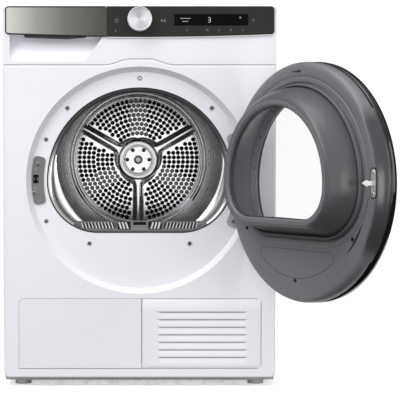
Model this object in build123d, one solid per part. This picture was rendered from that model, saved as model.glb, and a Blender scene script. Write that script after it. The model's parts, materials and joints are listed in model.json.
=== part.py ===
from build123d import *
import math
import os

# Driving sizes, mm. The front faces -Y, +X is to the right, +Z is up, the floor is z = 0.
drum_r = 283.0
drum_length = 421.0
side_room = 17.0
base_room = 217.0
head_room = 56.0
seat_room = 62.0
bearing_room = 24.0
duct_depth = 40.0
floor_gap = 20.0
sheet = 1.2
wall = 2.5
door_drop = 43.5
opening_r = 205.0
opening_flat = 116.5
opening_corner = 113.0
seat_w = 34.0
bevel_w = 11.0
recess_depth = 13.0
fascia_h = 68.0
door_t = 30.0
dome_depth = 66.0
door_open_deg = 121.1

# Clearances, mm
panel_gap = 1.2
free_gap = 0.3
fit_gap = 0.05
door_gap = 4.0

# Overall sizes and places along Y, worked out from the drum and the room around it
width = 2 * (drum_r + side_room)
drum_z = base_room + drum_r
height = drum_z + drum_r + head_room
depth = recess_depth + seat_room + drum_length + bearing_room + duct_depth
front_y = -depth / 2
dish_y = front_y + recess_depth
dish_back_y = dish_y + sheet
bulkhead_y = dish_back_y + 6.8
drum_front_y = dish_y + seat_room
drum_back_y = drum_front_y + drum_length
rear_panel_y = drum_back_y + bearing_room
duct_rear_y = rear_panel_y + duct_depth
lip = 20.0

# The door seat, from the loading opening outwards
door_z = drum_z - door_drop
seat_r = opening_r + 0.6 * seat_w
floor_r = opening_r + seat_w
recess_r = floor_r + bevel_w
door_r = recess_r - door_gap
seam_z = door_z + recess_r + 3.5

# Top of the cabinet
worktop_t = 16.0
worktop_z = height - worktop_t
fascia_t = 4.0
fascia_y = front_y - fascia_t
fascia_z = height - fascia_h
fascia_half = width / 2 - 5.0
split_x = -74.0

# Hinge, drive and feet
hinge_x = door_r - 22.0
hinge_y = front_y - 14.0
hinge_pin_r = 3.0
hinge_screw_deg = 23.6
drum_sheet = 1.0
drum_lip_r = drum_r - 43.0
motor_x = 60.0
motor_z = base_room - 98.0
belt_y = drum_front_y + 181.0
belt_w = 12.0
belt_t = 2.5
pulley_r = 9.0
idler_r = 20.0
roller_r = 22.0
foot_x = width / 2 - 39.0
foot_front_y = front_y + 55.0
foot_rear_y = rear_panel_y - 35.0
foot_h = 12.0
foot_pad_r = 18.0
foot_stem_r = 5.0
foot_top = foot_h + 26.0
tray_z = foot_h + free_gap
tray_floor_z = tray_z + 6.0
tray_top = tray_floor_z + 40.0


# Shape helpers
def block(x, y, z):
    centre = Pos((x[0] + x[1]) / 2, (y[0] + y[1]) / 2, (z[0] + z[1]) / 2)
    return centre * Box(x[1] - x[0], y[1] - y[0], z[1] - z[0])


def rod_x(r, x, y, z):
    return Pos((x[0] + x[1]) / 2, y, z) * Rot(0, 90, 0) * Cylinder(r, x[1] - x[0])


def rod_y(r, x, y, z):
    return Pos(x, (y[0] + y[1]) / 2, z) * Rot(90, 0, 0) * Cylinder(r, y[1] - y[0])


def rod_z(r, x, y, z):
    return Pos(x, y, (z[0] + z[1]) / 2) * Cylinder(r, z[1] - z[0])


def slab(face, y):
    """A face drawn with x to the right and z up, made solid between two places along Y."""
    plane = Plane(origin=(0, y[1], 0), x_dir=(1, 0, 0), z_dir=(0, -1, 0))
    return extrude(plane * face, amount=y[1] - y[0])


def turned(points, z):
    """A ring or disc turned about an axis along Y from (radius, y) points."""
    face = make_face(Polyline(*points, close=True))
    return Pos(0, 0, z) * revolve(face, axis=Axis.Y)


def rect(x, z, corner=0.0):
    face = Pos((x[0] + x[1]) / 2, (z[0] + z[1]) / 2) * Rectangle(x[1] - x[0], z[1] - z[0])
    return fillet(face.vertices(), corner) if corner else face


def front_edges(solid):
    return solid.faces().sort_by(Axis.Y)[0].edges()


def dee(radius, flat, corner):
    """A round outline about the door axis with a flat bottom and round lower corners."""
    cz = corner - flat
    cx = math.sqrt((radius - corner) ** 2 - cz**2)
    k = radius / (radius - corner)
    turn = (math.atan2(cz, cx) - math.pi / 2) / 2
    mid = (cx + corner * math.cos(turn), cz + corner * math.sin(turn))
    touch = (cx * k, cz * k)
    edges = [
        Line((-cx, -flat), (cx, -flat)),
        ThreePointArc((cx, -flat), mid, touch),
        ThreePointArc(touch, (0, radius), (-touch[0], touch[1])),
        ThreePointArc((-touch[0], touch[1]), (-mid[0], mid[1]), (-cx, -flat)),
    ]
    return Pos(0, door_z) * make_face(edges)


def opening(inset, flat_inset=None):
    """The loading opening's outline, drawn smaller by an inset."""
    low = inset if flat_inset is None else flat_inset
    return dee(opening_r - inset, opening_flat - low, opening_corner - (inset + low) / 2)


def sector(r_in, r_out, half_deg, mid_deg, corner=0.0):
    """A piece of a flat ring about the door axis, with round corners if asked."""
    a = math.radians(half_deg)
    pts = [(0, 0)]
    reach = r_out / math.cos(a / 2) * 1.2
    for k in range(-2, 3):
        pts.append((reach * math.cos(k * a / 2), reach * math.sin(k * a / 2)))
    fan = make_face(Polyline(*pts, close=True))
    piece = (Circle(r_out) - Circle(r_in)) & fan
    if corner:
        piece = fillet(piece.vertices(), corner)
    return Pos(0, door_z) * Rot(0, 0, mid_deg) * piece


# Cabinet panels
seam_rise = 13.0
seam_flat = 18.0
seam_half = 79.0
panel_corner = 12.0
panel_edge_r = 4.0


def seam_edges(inset):
    """The seam between the two front panels, arched over the door."""
    z = seam_z - inset
    rise = z + seam_rise
    flat = (1, 0)
    return [
        Line((-width / 2 + inset, z), (-seam_half, z)),
        Spline((-seam_half, z), (-seam_flat, rise), tangents=(flat, flat)),
        Line((-seam_flat, rise), (seam_flat, rise)),
        Spline((seam_flat, rise), (seam_half, z), tangents=(flat, flat)),
        Line((seam_half, z), (width / 2 - inset, z)),
    ]


def lower_face(inset):
    """The main front panel's outline, round at its two lower corners."""
    half = width / 2 - inset
    low = floor_gap + inset
    r = panel_corner - inset
    turn = r * (1 - math.sqrt(0.5))
    z = seam_z - inset
    edges = seam_edges(inset)
    edges += [
        Line((half, z), (half, low + r)),
        ThreePointArc((half, low + r), (half - turn, low + turn), (half - r, low)),
        Line((half - r, low), (-half + r, low)),
        ThreePointArc((-half + r, low), (-half + turn, low + turn), (-half, low + r)),
        Line((-half, low + r), (-half, z)),
    ]
    return make_face(edges)


def upper_face(inset):
    """The upper front panel's outline, down to the seam."""
    half = width / 2 - inset
    z = seam_z + panel_gap
    top = worktop_z - inset
    edges = [Pos(0, panel_gap + 2 * inset) * e for e in seam_edges(inset)]
    edges += [
        Line((half, z + inset), (half, top)),
        Line((half, top), (-half, top)),
        Line((-half, top), (-half, z + inset)),
    ]
    return make_face(edges)


flap_x = (-width / 2 + 33.0, 4.0)
louvre_x = (flap_x[1] + panel_gap, width / 2 - 31.0)
lower_z = (floor_gap + 20.0, door_z - recess_r - 10.5)
lower_corner = 11.0
pivot_corner = 3.0
pivot_y = front_y + 5.0
pivot_z = lower_z[0] + 7.5
pivot_r = 3.0



def polar(r, deg):
    return (r * math.cos(math.radians(deg)), r * math.sin(math.radians(deg)))


# Screws on the seat ring, as x and height above the door axis
seat_screws = [polar(seat_r, deg) for deg in (45, 90, 135, 180 - hinge_screw_deg, 180 + hinge_screw_deg)]
tub_screws = [(side * (opening_flat - 5.5), -opening_flat - 23.5) for side in (-1, 1)]
hinge_screws = [polar(seat_r, side * hinge_screw_deg) for side in (-1, 1)]
plate_r = (opening_r + 7.0, floor_r - 0.5)
latch_x = -seat_r - 4.0
latch_rise = 3.0
latch_screws = [(latch_x + 6, 36), (latch_x - 3, -28)]
screw_r = 2.0
screw_head_r = 5.0
screw_head_h = 2.0
boss_r = 6.0
housing_x = (latch_x - 7.5, latch_x + 7.5)
housing_z = (door_z + latch_rise - 24, door_z + latch_rise + 24)
plate_t = 2.2


def lower_hole():
    """The hole for the flap and the louvres, nearly square where the flap's pivot end swings."""
    face = rect((flap_x[0], louvre_x[1]), lower_z)
    corners = face.vertices().sort_by(lambda v: v.X + v.Y)
    face = fillet(corners[0], pivot_corner)
    corners = face.vertices().sort_by(lambda v: v.X + v.Y)
    return fillet(corners[2:], lower_corner)


def front_panel():
    skin = slab(lower_face(0), (front_y, front_y + lip))
    skin = fillet(front_edges(skin), panel_edge_r)
    inside = slab(lower_face(sheet), (front_y + sheet, front_y + lip))
    skin -= fillet(front_edges(inside), panel_edge_r - sheet)
    skin -= rod_y(recess_r, 0, (front_y - 1, front_y + lip), door_z)
    core_r = opening_flat - 15
    dish = turned(
        [
            (recess_r + 1, front_y),
            (recess_r, front_y),
            (floor_r, dish_y),
            (core_r, dish_y),
            (core_r, dish_back_y),
            (floor_r + 0.5, dish_back_y),
            (recess_r + 0.5, front_y + sheet),
            (recess_r + 1, front_y + sheet),
        ],
        door_z,
    )
    skin += dish - slab(opening(0), (front_y, dish_back_y + 1))
    skin += slab(opening(-sheet) - opening(0), (dish_y, dish_back_y + 5))
    skin -= slab(lower_hole(), (front_y - 1, front_y + lip))
    ear_y = (front_y + sheet, pivot_y + 6)
    ear = block((flap_x[0] - 5, flap_x[0] - 1), ear_y, (pivot_z - 6, pivot_z + 6))
    skin += ear - rod_x(pivot_r + fit_gap, (flap_x[0] - 6, flap_x[0]), pivot_y, pivot_z)
    for x, rise in seat_screws + tub_screws + hinge_screws + latch_screws:
        skin -= rod_y(screw_r + free_gap, x, (dish_y - 1, dish_back_y + 1), door_z + rise)
    slot = (
        (housing_x[0] - free_gap, housing_x[1] + free_gap),
        (dish_y - 1, dish_back_y + 1),
        (housing_z[0] - free_gap, housing_z[1] + free_gap),
    )
    return skin - block(*slot)


grip_top = fascia_z + 7.0
grip_low = seam_z + 5.0
grip_depth = 28.0
tank_x = (-width / 2 + 16.0, split_x - 5.0)
tank_z = (grip_top + 3.0, worktop_z - 3.0)
knob_z = fascia_z + 38.0
knob_shaft_r = 4.0
display_x = (fascia_half - 219.5, fascia_half - 57.5)
display_z = (fascia_z + 24.6, fascia_z + 49.4)


def grip_face(inset):
    """The finger pocket under the tank drawer: upright on the left, slanted on the right."""
    left = -width / 2 + 12.0 + inset
    right = split_x - 2.0 - inset
    slant = 42.0
    face = make_face(
        Polyline(
            (left, grip_low + inset),
            (right - slant, grip_low + inset),
            (right, grip_top - inset),
            (left, grip_top - inset),
            close=True,
        )
    )
    lower = face.vertices().sort_by(Axis.Y)[:2]
    return fillet(lower, 16.0 - inset)


def grip_wedge(inset):
    """The sloped space of the finger pocket, deepest at its top."""
    low = grip_low + inset
    side = [
        (front_y - 1, low - 2),
        (front_y - 1, grip_top),
        (front_y + grip_depth - inset, grip_top),
        (front_y + grip_depth - inset, grip_top - 10),
    ]
    plane = Plane(origin=(-width / 2, 0, 0), x_dir=(0, 1, 0), z_dir=(1, 0, 0))
    prism = extrude(plane * make_face(Polyline(*side, close=True)), amount=width)
    return prism & slab(grip_face(inset), (front_y - 1, front_y + grip_depth))


def upper_front_panel():
    skin = slab(upper_face(0), (front_y, front_y + lip))
    skin -= slab(upper_face(wall), (front_y + wall, front_y + lip))
    pocket = grip_wedge(0) & block((-width, width), (front_y, 0), (0, height))
    skin = (skin + pocket) - grip_wedge(wall)
    gap = 2 * free_gap
    hole_x = (tank_x[0] - gap, tank_x[1] + gap)
    skin -= block(hole_x, (front_y - 1, front_y + lip), (tank_z[0] - gap, tank_z[1] + gap))
    skin -= rod_y(knob_shaft_r + fit_gap, 0, (front_y - 1, front_y + lip), knob_z)
    return skin - slab(display_face(6.0), (front_y - 1, front_y + lip))


def fascia_face():
    """The dark strip across the top of the front, with a bowed lower edge."""
    top = height - 1.0
    end = fascia_z + 6.0
    half = fascia_half
    edges = [
        Line((-half, end), (-half, top)),
        Line((-half, top), (half, top)),
        Line((half, top), (half, end)),
        ThreePointArc((half, end), (0, fascia_z), (-half, end)),
    ]
    face = make_face(edges)
    return fillet(face.vertices(), 8.0)


def display_face(inset):
    x = (display_x[0] + inset, display_x[1] - inset)
    return rect(x, (display_z[0] + inset, display_z[1] - inset))


def control_fascia():
    right = rect((split_x + panel_gap / 2, width), (0, height))
    plate = slab(fascia_face() & right, (fascia_y, front_y))
    plate = fillet(front_edges(plate), 1.5)
    plate -= rod_y(knob_shaft_r + fit_gap, 0, (fascia_y - 1, front_y + 1), knob_z)
    return plate - slab(display_face(-free_gap), (fascia_y - 1, front_y + 1))


def display_module():
    window = slab(display_face(0), (fascia_y, front_y - free_gap))
    neck = slab(display_face(6.0 + free_gap), (front_y - 1, front_y + 12))
    board_x = (display_x[0] - 35, display_x[1] + 32)
    board = block(board_x, (front_y + 12, front_y + 14), (fascia_z + 14, worktop_z - 6))
    return window + neck + board


def dial_knob():
    profile = [
        (0, fascia_y - 18),
        (23.0, fascia_y - 18),
        (25.0, fascia_y - 16.5),
        (27.0, fascia_y - free_gap),
        (0, fascia_y - free_gap),
    ]
    shaft = rod_y(knob_shaft_r, 0, (fascia_y - 1, front_y + 9), knob_z)
    return turned(profile, knob_z) + shaft


def tank_front():
    left = rect((-width, split_x - panel_gap / 2), (0, height))
    plate = slab(fascia_face() & left, (fascia_y, front_y - free_gap))
    return fillet(front_edges(plate), 1.5)


tank_y = (front_y - free_gap, rear_panel_y - 50.0)


def water_tank():
    shell = block(tank_x, tank_y, tank_z)
    inner = (
        (tank_x[0] + wall, tank_x[1] - wall),
        (tank_y[0] + wall, tank_y[1] - wall),
        (tank_z[0] + wall, tank_z[1] - wall),
    )
    shell -= block(*inner)
    fill_y = tank_y[1] - 40
    mid_x = (tank_x[0] + tank_x[1]) / 2
    return shell - rod_z(18.0, mid_x, fill_y, (tank_z[1] - 5, tank_z[1] + 1))


def tank_shelf():
    t = 2.0
    floor_z = tank_z[0] - free_gap
    y = (front_y + wall, rear_panel_y)
    x = (tank_x[0] - free_gap, tank_x[1] + free_gap)
    shelf = block((x[0] - t, x[1] + t), y, (floor_z - t, floor_z))
    for edge in (x[0] - t, x[1]):
        shelf += block((edge, edge + t), (front_y + lip, y[1]), (floor_z - t, worktop_z - 4))
    return shelf


def worktop():
    board = block((-width / 2, width / 2), (front_y + 1, rear_panel_y + 6), (worktop_z, height))
    return fillet(board.edges().group_by(Axis.Z)[-1], 4.0)


def side_panel(side):
    y = (front_y + lip + panel_gap, rear_panel_y)
    z = (floor_gap, worktop_z)
    flange = 12.0
    outer = side * width / 2

    def span(a, b):
        ends = (outer - side * a, outer - side * b)
        return (min(ends), max(ends))

    panel = block(span(0, sheet), y, z)
    panel += block(span(0, flange), (y[0], y[0] + sheet), z)
    panel += block(span(0, flange), (y[1] - sheet, y[1]), z)
    panel += block(span(0, flange), y, (z[1] - sheet, z[1]))
    return fillet(panel.edges().filter_by(Axis.Z).sort_by(Axis.X)[-side:][:1], sheet * 0.8)


spider_r = drum_r - 123.0
bearing_r = 48.0
shaft_r = 12.5
drain_x = -120.0
drain_z = tray_top - 10.0
drain_r = 9.0
drain_collar_r = drain_r + 2.0
inlet_x = width / 2 - 55.0
inlet_z = 86.0
inlet_r = 9.0
scroll_r = motor_z - tray_floor_z - 10.7
fan_r = scroll_r - 12.0
vent_x = (width / 2 - 100.0, width / 2 - 40.0)
vent_z = 174.0


def rear_panel():
    y = (rear_panel_y, rear_panel_y + sheet)
    half = width / 2 - sheet
    panel = block((-half, half), y, (floor_gap, worktop_z))
    cut_y = (y[0] - 1, y[1] + 1)
    ring = Pos(0, drum_z) * (Circle(spider_r) - Circle(bearing_r + 14))
    for turn in range(3):
        arm = Rot(0, 0, 90 + 120 * turn) * Pos(spider_r / 2, 0) * Rectangle(spider_r * 1.2, 44)
        ring -= Pos(0, drum_z) * arm
    panel -= slab(ring, cut_y)
    panel -= rod_y(shaft_r + 1, 0, cut_y, drum_z)
    panel -= rod_y(fan_r * 0.8, motor_x, cut_y, motor_z)
    panel -= rod_y(drain_collar_r + free_gap, drain_x, cut_y, drain_z)
    panel -= rod_y(inlet_r, inlet_x, cut_y, inlet_z)
    for k in range(7):
        z = vent_z + 16 * k
        panel -= slab(rect(vent_x, (z, z + 6), 2.9), cut_y)
    return panel


def rear_duct_cover():
    y = (rear_panel_y + sheet, duct_rear_y)

    def outline(grow):
        drum = CenterArc((0, drum_z), spider_r + 32 + grow, 0, 360)
        fan = CenterArc((motor_x, motor_z), fan_r + 4 + grow, 0, 360)
        return make_hull([drum, fan])

    shell = slab(outline(0), y)
    shell = fillet(shell.faces().sort_by(Axis.Y)[-1].edges(), 10.0)
    inside = slab(outline(-1.5), (y[0], y[1] - 1.5))
    shell -= fillet(inside.faces().sort_by(Axis.Y)[-1].edges(), 8.5)
    rim = slab(outline(12) - outline(-1), (y[0], y[0] + 1.5))
    return shell + rim


# Front bulkhead, seals and rollers
seal_r = (drum_lip_r + 4.0, drum_lip_r + 24.0)
carrier_y = drum_front_y - 7.0
tube_inset = 9.0
tube_floor = 4.0
tube_y = (bulkhead_y, drum_front_y + 2)
pocket_x = opening_flat - 3.0
pocket_y = (bulkhead_y + 5.5, carrier_y - 5.0)
pocket_low = door_z - opening_flat - 134.0
roller_deg = 35.0
roller_reach = drum_r + roller_r + free_gap
roller_x = roller_reach * math.sin(math.radians(roller_deg))
roller_z = drum_z - roller_reach * math.cos(math.radians(roller_deg))
roller_y = (drum_front_y + 9.0, drum_front_y + 23.0)
axle_r = 5.0


def filter_tub(gap):
    """The outside of the pocket that the lint filter stands in."""
    x = pocket_x + wall + gap
    y = (bulkhead_y - gap, pocket_y[1] + wall + gap)
    return block((-x, x), y, (pocket_low - gap, door_z - opening_flat + tube_floor + gap))


def loading_tunnel():
    """The tube from the door seat to the drum, with the lint filter's pocket under it."""
    tube = slab(opening(tube_inset - wall, tube_floor - wall), tube_y) + filter_tub(0)
    tube -= slab(opening(tube_inset, tube_floor), (tube_y[0] - 1, tube_y[1] + 1))
    tube -= block((-pocket_x, pocket_x), pocket_y, (0, door_z))
    for x, rise in tub_screws:
        tube += rod_y(boss_r, x, (dish_back_y, bulkhead_y), door_z + rise)
        tube -= rod_y(screw_r + free_gap, x, (dish_back_y - 1, bulkhead_y + 4), door_z + rise)
    return tube


def front_bulkhead():
    plate_y = (bulkhead_y, bulkhead_y + 3)
    half = width / 2 - 15
    plate = slab(rect((-half, half), (pocket_low, seam_z + 30), 20), plate_y)
    flange = 3.0
    plate += turned(
        [
            (seal_r[0], carrier_y - flange),
            (seal_r[0], carrier_y),
            (seal_r[1] + 1, carrier_y),
            (seal_r[1] + 1, plate_y[0]),
            (seal_r[1] - 2, plate_y[0]),
            (seal_r[1] - 2, carrier_y - flange),
        ],
        drum_z,
    )
    tube_gap = wall + free_gap
    plate -= slab(opening(tube_inset - tube_gap, tube_floor - tube_gap), (plate_y[0] - 1, tube_y[1] + 1))
    plate -= filter_tub(free_gap)
    for x, rise in seat_screws + hinge_screws:
        plate += rod_y(boss_r, x, (dish_back_y, plate_y[1]), door_z + rise)
        plate -= rod_y(screw_r + free_gap, x, (dish_back_y - 1, plate_y[1] + 1), door_z + rise)
    lock_x = (housing_x[0] - 3, housing_x[1] + 3)
    plate -= block(lock_x, (plate_y[0] - 1, plate_y[1] + 1), (housing_z[0] - 14, housing_z[1] + 16))
    for side in (-1, 1):
        end_y = roller_y[1] + 3
        plate += rod_y(axle_r, side * roller_x, (plate_y[0], end_y), roller_z)
        plate += rod_y(axle_r + 5, side * roller_x, (plate_y[0], roller_y[0] - free_gap), roller_z)
    return plate


def front_drum_seal():
    y = (carrier_y, drum_front_y - free_gap)
    return rod_y(seal_r[1], 0, y, drum_z) - rod_y(seal_r[0], 0, y, drum_z)


def front_roller(side):
    x = side * roller_x
    wheel = rod_y(roller_r, x, roller_y, roller_z)
    wheel = fillet(wheel.edges().filter_by(GeomType.CIRCLE), 1.5)
    return wheel - rod_y(axle_r + fit_gap, x, roller_y, roller_z)


# Drum
spoke_deg = [270, 30, 150]
hole_r = 3.8
hole_pitch = 11.7
step_r = (drum_r - 120.0, drum_r - 107.0)
bead_r = drum_r - 60.0
step_rise = 6.0
field_y = drum_back_y - step_rise
cap_r = 46.0
hub_flange_r = 60.0


def drum_shell():
    r = drum_r - drum_sheet
    y = (drum_front_y, drum_back_y - 40)
    return turned(
        [
            (drum_lip_r, y[0]),
            (drum_r, y[0]),
            (drum_r, y[1]),
            (r, y[1]),
            (r, y[0] + drum_sheet),
            (drum_lip_r, y[0] + drum_sheet),
        ],
        drum_z,
    )


def hole_field():
    """The drilled part of the drum's back wall: rings of holes between the three spokes."""
    half_spoke = 20.0
    face = Circle(step_r[0] + 1)
    holes = []
    ring_r = cap_r + 22.0
    while ring_r < step_r[0] - 8:
        count = round(2 * math.pi * ring_r / hole_pitch)
        for k in range(count):
            a = 360.0 * (k + 0.5) / count
            off = min(abs((a - s + 180) % 360 - 180) for s in spoke_deg)
            if off > 89 or ring_r * math.sin(math.radians(off)) > half_spoke:
                holes.append(Rot(0, 0, a) * Pos(ring_r, 0))
        ring_r += hole_pitch
    return face - [place * Circle(hole_r) for place in holes]


def drum_back():
    r = drum_r - drum_sheet
    t = 1.2
    bend = 54.0
    overlap = 4.0
    flat_r = r - bend
    bend_y = drum_back_y - bend
    turn = bend * math.sqrt(0.5)
    thin = (bend - t) * math.sqrt(0.5)
    edges = [
        Line((step_r[0], field_y), (step_r[1], drum_back_y)),
        Line((step_r[1], drum_back_y), (flat_r, drum_back_y)),
        ThreePointArc((flat_r, drum_back_y), (flat_r + turn, bend_y + turn), (r, bend_y)),
        Line((r, bend_y), (r, bend_y - overlap)),
        Line((r, bend_y - overlap), (r - t, bend_y - overlap)),
        Line((r - t, bend_y - overlap), (r - t, bend_y)),
        ThreePointArc((r - t, bend_y), (flat_r + thin, bend_y + thin), (flat_r, drum_back_y - t)),
        Line((flat_r, drum_back_y - t), (step_r[1], drum_back_y - t)),
        Line((step_r[1], drum_back_y - t), (step_r[0], field_y - t)),
        Line((step_r[0], field_y - t), (step_r[0], field_y)),
    ]
    wall_ring = revolve(make_face(edges), axis=Axis.Y)
    face_y = drum_back_y - t
    bead = [(bead_r - 3, face_y - 2), (bead_r + 3, face_y - 2), (bead_r + 5, face_y), (bead_r - 5, face_y)]
    wall_ring += turned(bead, 0)
    field = slab(hole_field(), (field_y - t, field_y))
    rib_y = (field_y - t - 5.0, field_y - t)
    rib_start = 20.0
    rib = [(-13, rib_y[1]), (-4.5, rib_y[0]), (4.5, rib_y[0]), (13, rib_y[1])]
    for angle in spoke_deg:
        base = Plane(origin=(rib_start, 0, 0), x_dir=(0, 0, 1), z_dir=(-1, 0, 0))
        prism = extrude(base * make_face(Polyline(*rib, close=True)), amount=rib_start - step_r[0])
        field += prism.rotate(Axis.Y, -angle)
    cap_y = (field_y - 10, field_y - 7)
    cap = [(0, cap_y[0]), (37, cap_y[0]), (cap_r, cap_y[1]), (cap_r, field_y), (0, field_y)]
    back = wall_ring + field + turned(cap, 0)
    for x, z in hub_screw_places():
        back -= rod_y(screw_r + free_gap, x, (field_y - 12, field_y + 1), z)
    return Pos(0, 0, drum_z) * back


def hub_screw_places():
    ring_r = 28.0
    turns = [math.radians(60 * k) for k in range(6)]
    return [(ring_r * math.cos(a), ring_r * math.sin(a)) for a in turns]


def drum_hub():
    disc = rod_y(hub_flange_r, 0, (field_y, field_y + 6), 0)
    for x, z in hub_screw_places():
        disc -= rod_y(screw_r + free_gap, x, (field_y - 1, field_y + 7), z)
    shaft = rod_y(shaft_r, 0, (field_y + 5, rear_panel_y + 4), 0)
    return Pos(0, 0, drum_z) * (disc + shaft)


def hub_screws():
    screws = []
    for x, z in hub_screw_places():
        head = rod_y(screw_head_r, x, (field_y - 12, field_y - 10), z + drum_z)
        screws.append(head + rod_y(screw_r, x, (field_y - 11, field_y + 5), z + drum_z))
    return Compound(screws)


def drum_lifters():
    """Three lifters inside the drum, one opposite each spoke."""
    inner = drum_r - drum_sheet - 0.02
    y = (drum_front_y + 14, drum_back_y - 60)
    rise = 52.0
    lifters = []
    for angle in spoke_deg:
        side = [(-38, inner + 8), (-14, inner - rise), (14, inner - rise), (38, inner + 8)]
        face = fillet(make_face(Polyline(*side, close=True)).vertices().sort_by(Axis.Y)[:2], 10.0)
        bar = slab(face, y) & rod_y(inner, 0, y, 0)
        lifters.append(Pos(0, 0, drum_z) * bar.rotate(Axis.Y, 270 - angle))
    return Compound(lifters)


def rear_bearing():
    y = (field_y + 8, rear_panel_y)
    body = rod_y(bearing_r * 0.55, 0, y, drum_z)
    body += rod_y(bearing_r, 0, (y[1] - 5, y[1]), drum_z)
    return body - rod_y(shaft_r + fit_gap, 0, (y[0] - 1, y[1] + 1), drum_z)


# Drive
motor_y = (belt_y + 16.0, belt_y + 110.0)
fan_y = (rear_panel_y - 68.0, rear_panel_y - 22.0)
motor_r = 46.0
shaft_small_r = 6.0
idler_x = -34.5
idler_z = base_room - 24.0
arm_x = 2.0
arm_z = base_room - 65.0
arm_pin_r = 5.0
arm_y = (belt_y + 9.0, belt_y + 15.0)
coil_r = 5.0
wire_r = 0.8
stud_r = 4.0
spring_x = -27.0
spring_y = arm_y[1] + 8.0
spring_reach = coil_r + wire_r + free_gap
spring_top_z = base_room - 33.0
spring_low_z = tray_floor_z + 60.0


def belt_face(grow):
    circles = [(0, drum_z, drum_r), (motor_x, motor_z, pulley_r), (idler_x, idler_z, idler_r)]
    return make_hull([CenterArc((x, z), r + grow, 0, 360) for x, z, r in circles])


def drive_belt():
    y = (belt_y - belt_w / 2, belt_y + belt_w / 2)
    return slab(belt_face(free_gap + belt_t) - belt_face(free_gap), y)


def motor_shaft():
    y = (belt_y - belt_w / 2 - 2, belt_y + belt_w / 2 + 2)
    shaft = rod_y(shaft_small_r, motor_x, (y[0], fan_y[1] + 4), motor_z)
    shaft += rod_y(pulley_r, motor_x, y, motor_z)
    for end in (y[0] - 2, y[1]):
        shaft += rod_y(pulley_r + 3.5, motor_x, (end, end + 2), motor_z)
    return shaft


def drive_motor():
    body = rod_y(motor_r, motor_x, motor_y, motor_z)
    body = fillet(body.edges().filter_by(GeomType.CIRCLE), 6.0)
    foot = block(
        (motor_x - 40, motor_x + 40),
        (motor_y[0] + 12, motor_y[1] - 12),
        (tray_floor_z, motor_z - motor_r * 0.7),
    )
    return (body + foot) - rod_y(shaft_small_r + fit_gap, motor_x, motor_y, motor_z)


def blower_fan():
    hub = rod_y(24, motor_x, fan_y, motor_z)
    hub += rod_y(fan_r, motor_x, (fan_y[1] - 2, fan_y[1]), motor_z)
    blades = 24
    for k in range(blades):
        blade = block((fan_r - 22, fan_r - 1), fan_y, (-0.9, 0.9))
        hub += Pos(motor_x, 0, motor_z) * blade.rotate(Axis.Y, 360.0 * k / blades)
    return hub - rod_y(shaft_small_r, motor_x, (fan_y[0] - 1, fan_y[1] + 1), motor_z)


def fan_housing():
    y = (fan_y[0] - 6, rear_panel_y)
    shell = rod_y(scroll_r, motor_x, y, motor_z)
    shell += block((motor_x - 60, motor_x + 60), y, (tray_floor_z, motor_z))
    shell -= rod_y(scroll_r - wall, motor_x, (y[0] + wall, y[1] + 1), motor_z)
    return shell - rod_y(44, motor_x, (y[0] - 1, y[1]), motor_z)


def idler_arm():
    pivot = CenterArc((arm_x, arm_z), 11, 0, 360)
    end = CenterArc((idler_x, idler_z), 9, 0, 360)
    arm = slab(make_hull([pivot, end]), arm_y)
    arm += rod_y(4, idler_x, (belt_y - belt_w / 2, arm_y[0] + 1), idler_z)
    arm += rod_y(stud_r, spring_x, (arm_y[1] - 1, spring_y - spring_reach), spring_top_z)
    return arm - rod_y(arm_pin_r + fit_gap, arm_x, (arm_y[0] - 1, arm_y[1] + 1), arm_z)


def idler_pulley():
    y = (belt_y - belt_w / 2 - 1, belt_y + belt_w / 2 + 1)
    wheel = rod_y(idler_r, idler_x, y, idler_z)
    return wheel - rod_y(4 + fit_gap, idler_x, (y[0] - 1, y[1] + 1), idler_z)


# Base
tray_x = width / 2 - sheet - free_gap
tray_y = (front_y + lip + panel_gap + sheet + free_gap, rear_panel_y - sheet - free_gap)
duct_x = (-width / 2 + 14.0, -58.0)
duct_top = base_room - 41.0
duct_y = (front_y + 34.0, front_y + 350.0)
cover_y = (duct_y[0] - 5.0, duct_y[0])
cover_z = (tray_top - 8.0, duct_top - 6.0)
lock_places = {"left": duct_x[0] + 60.0, "right": duct_x[1] - 26.0}
lock_z = (cover_z[0] + cover_z[1]) / 2


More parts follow.
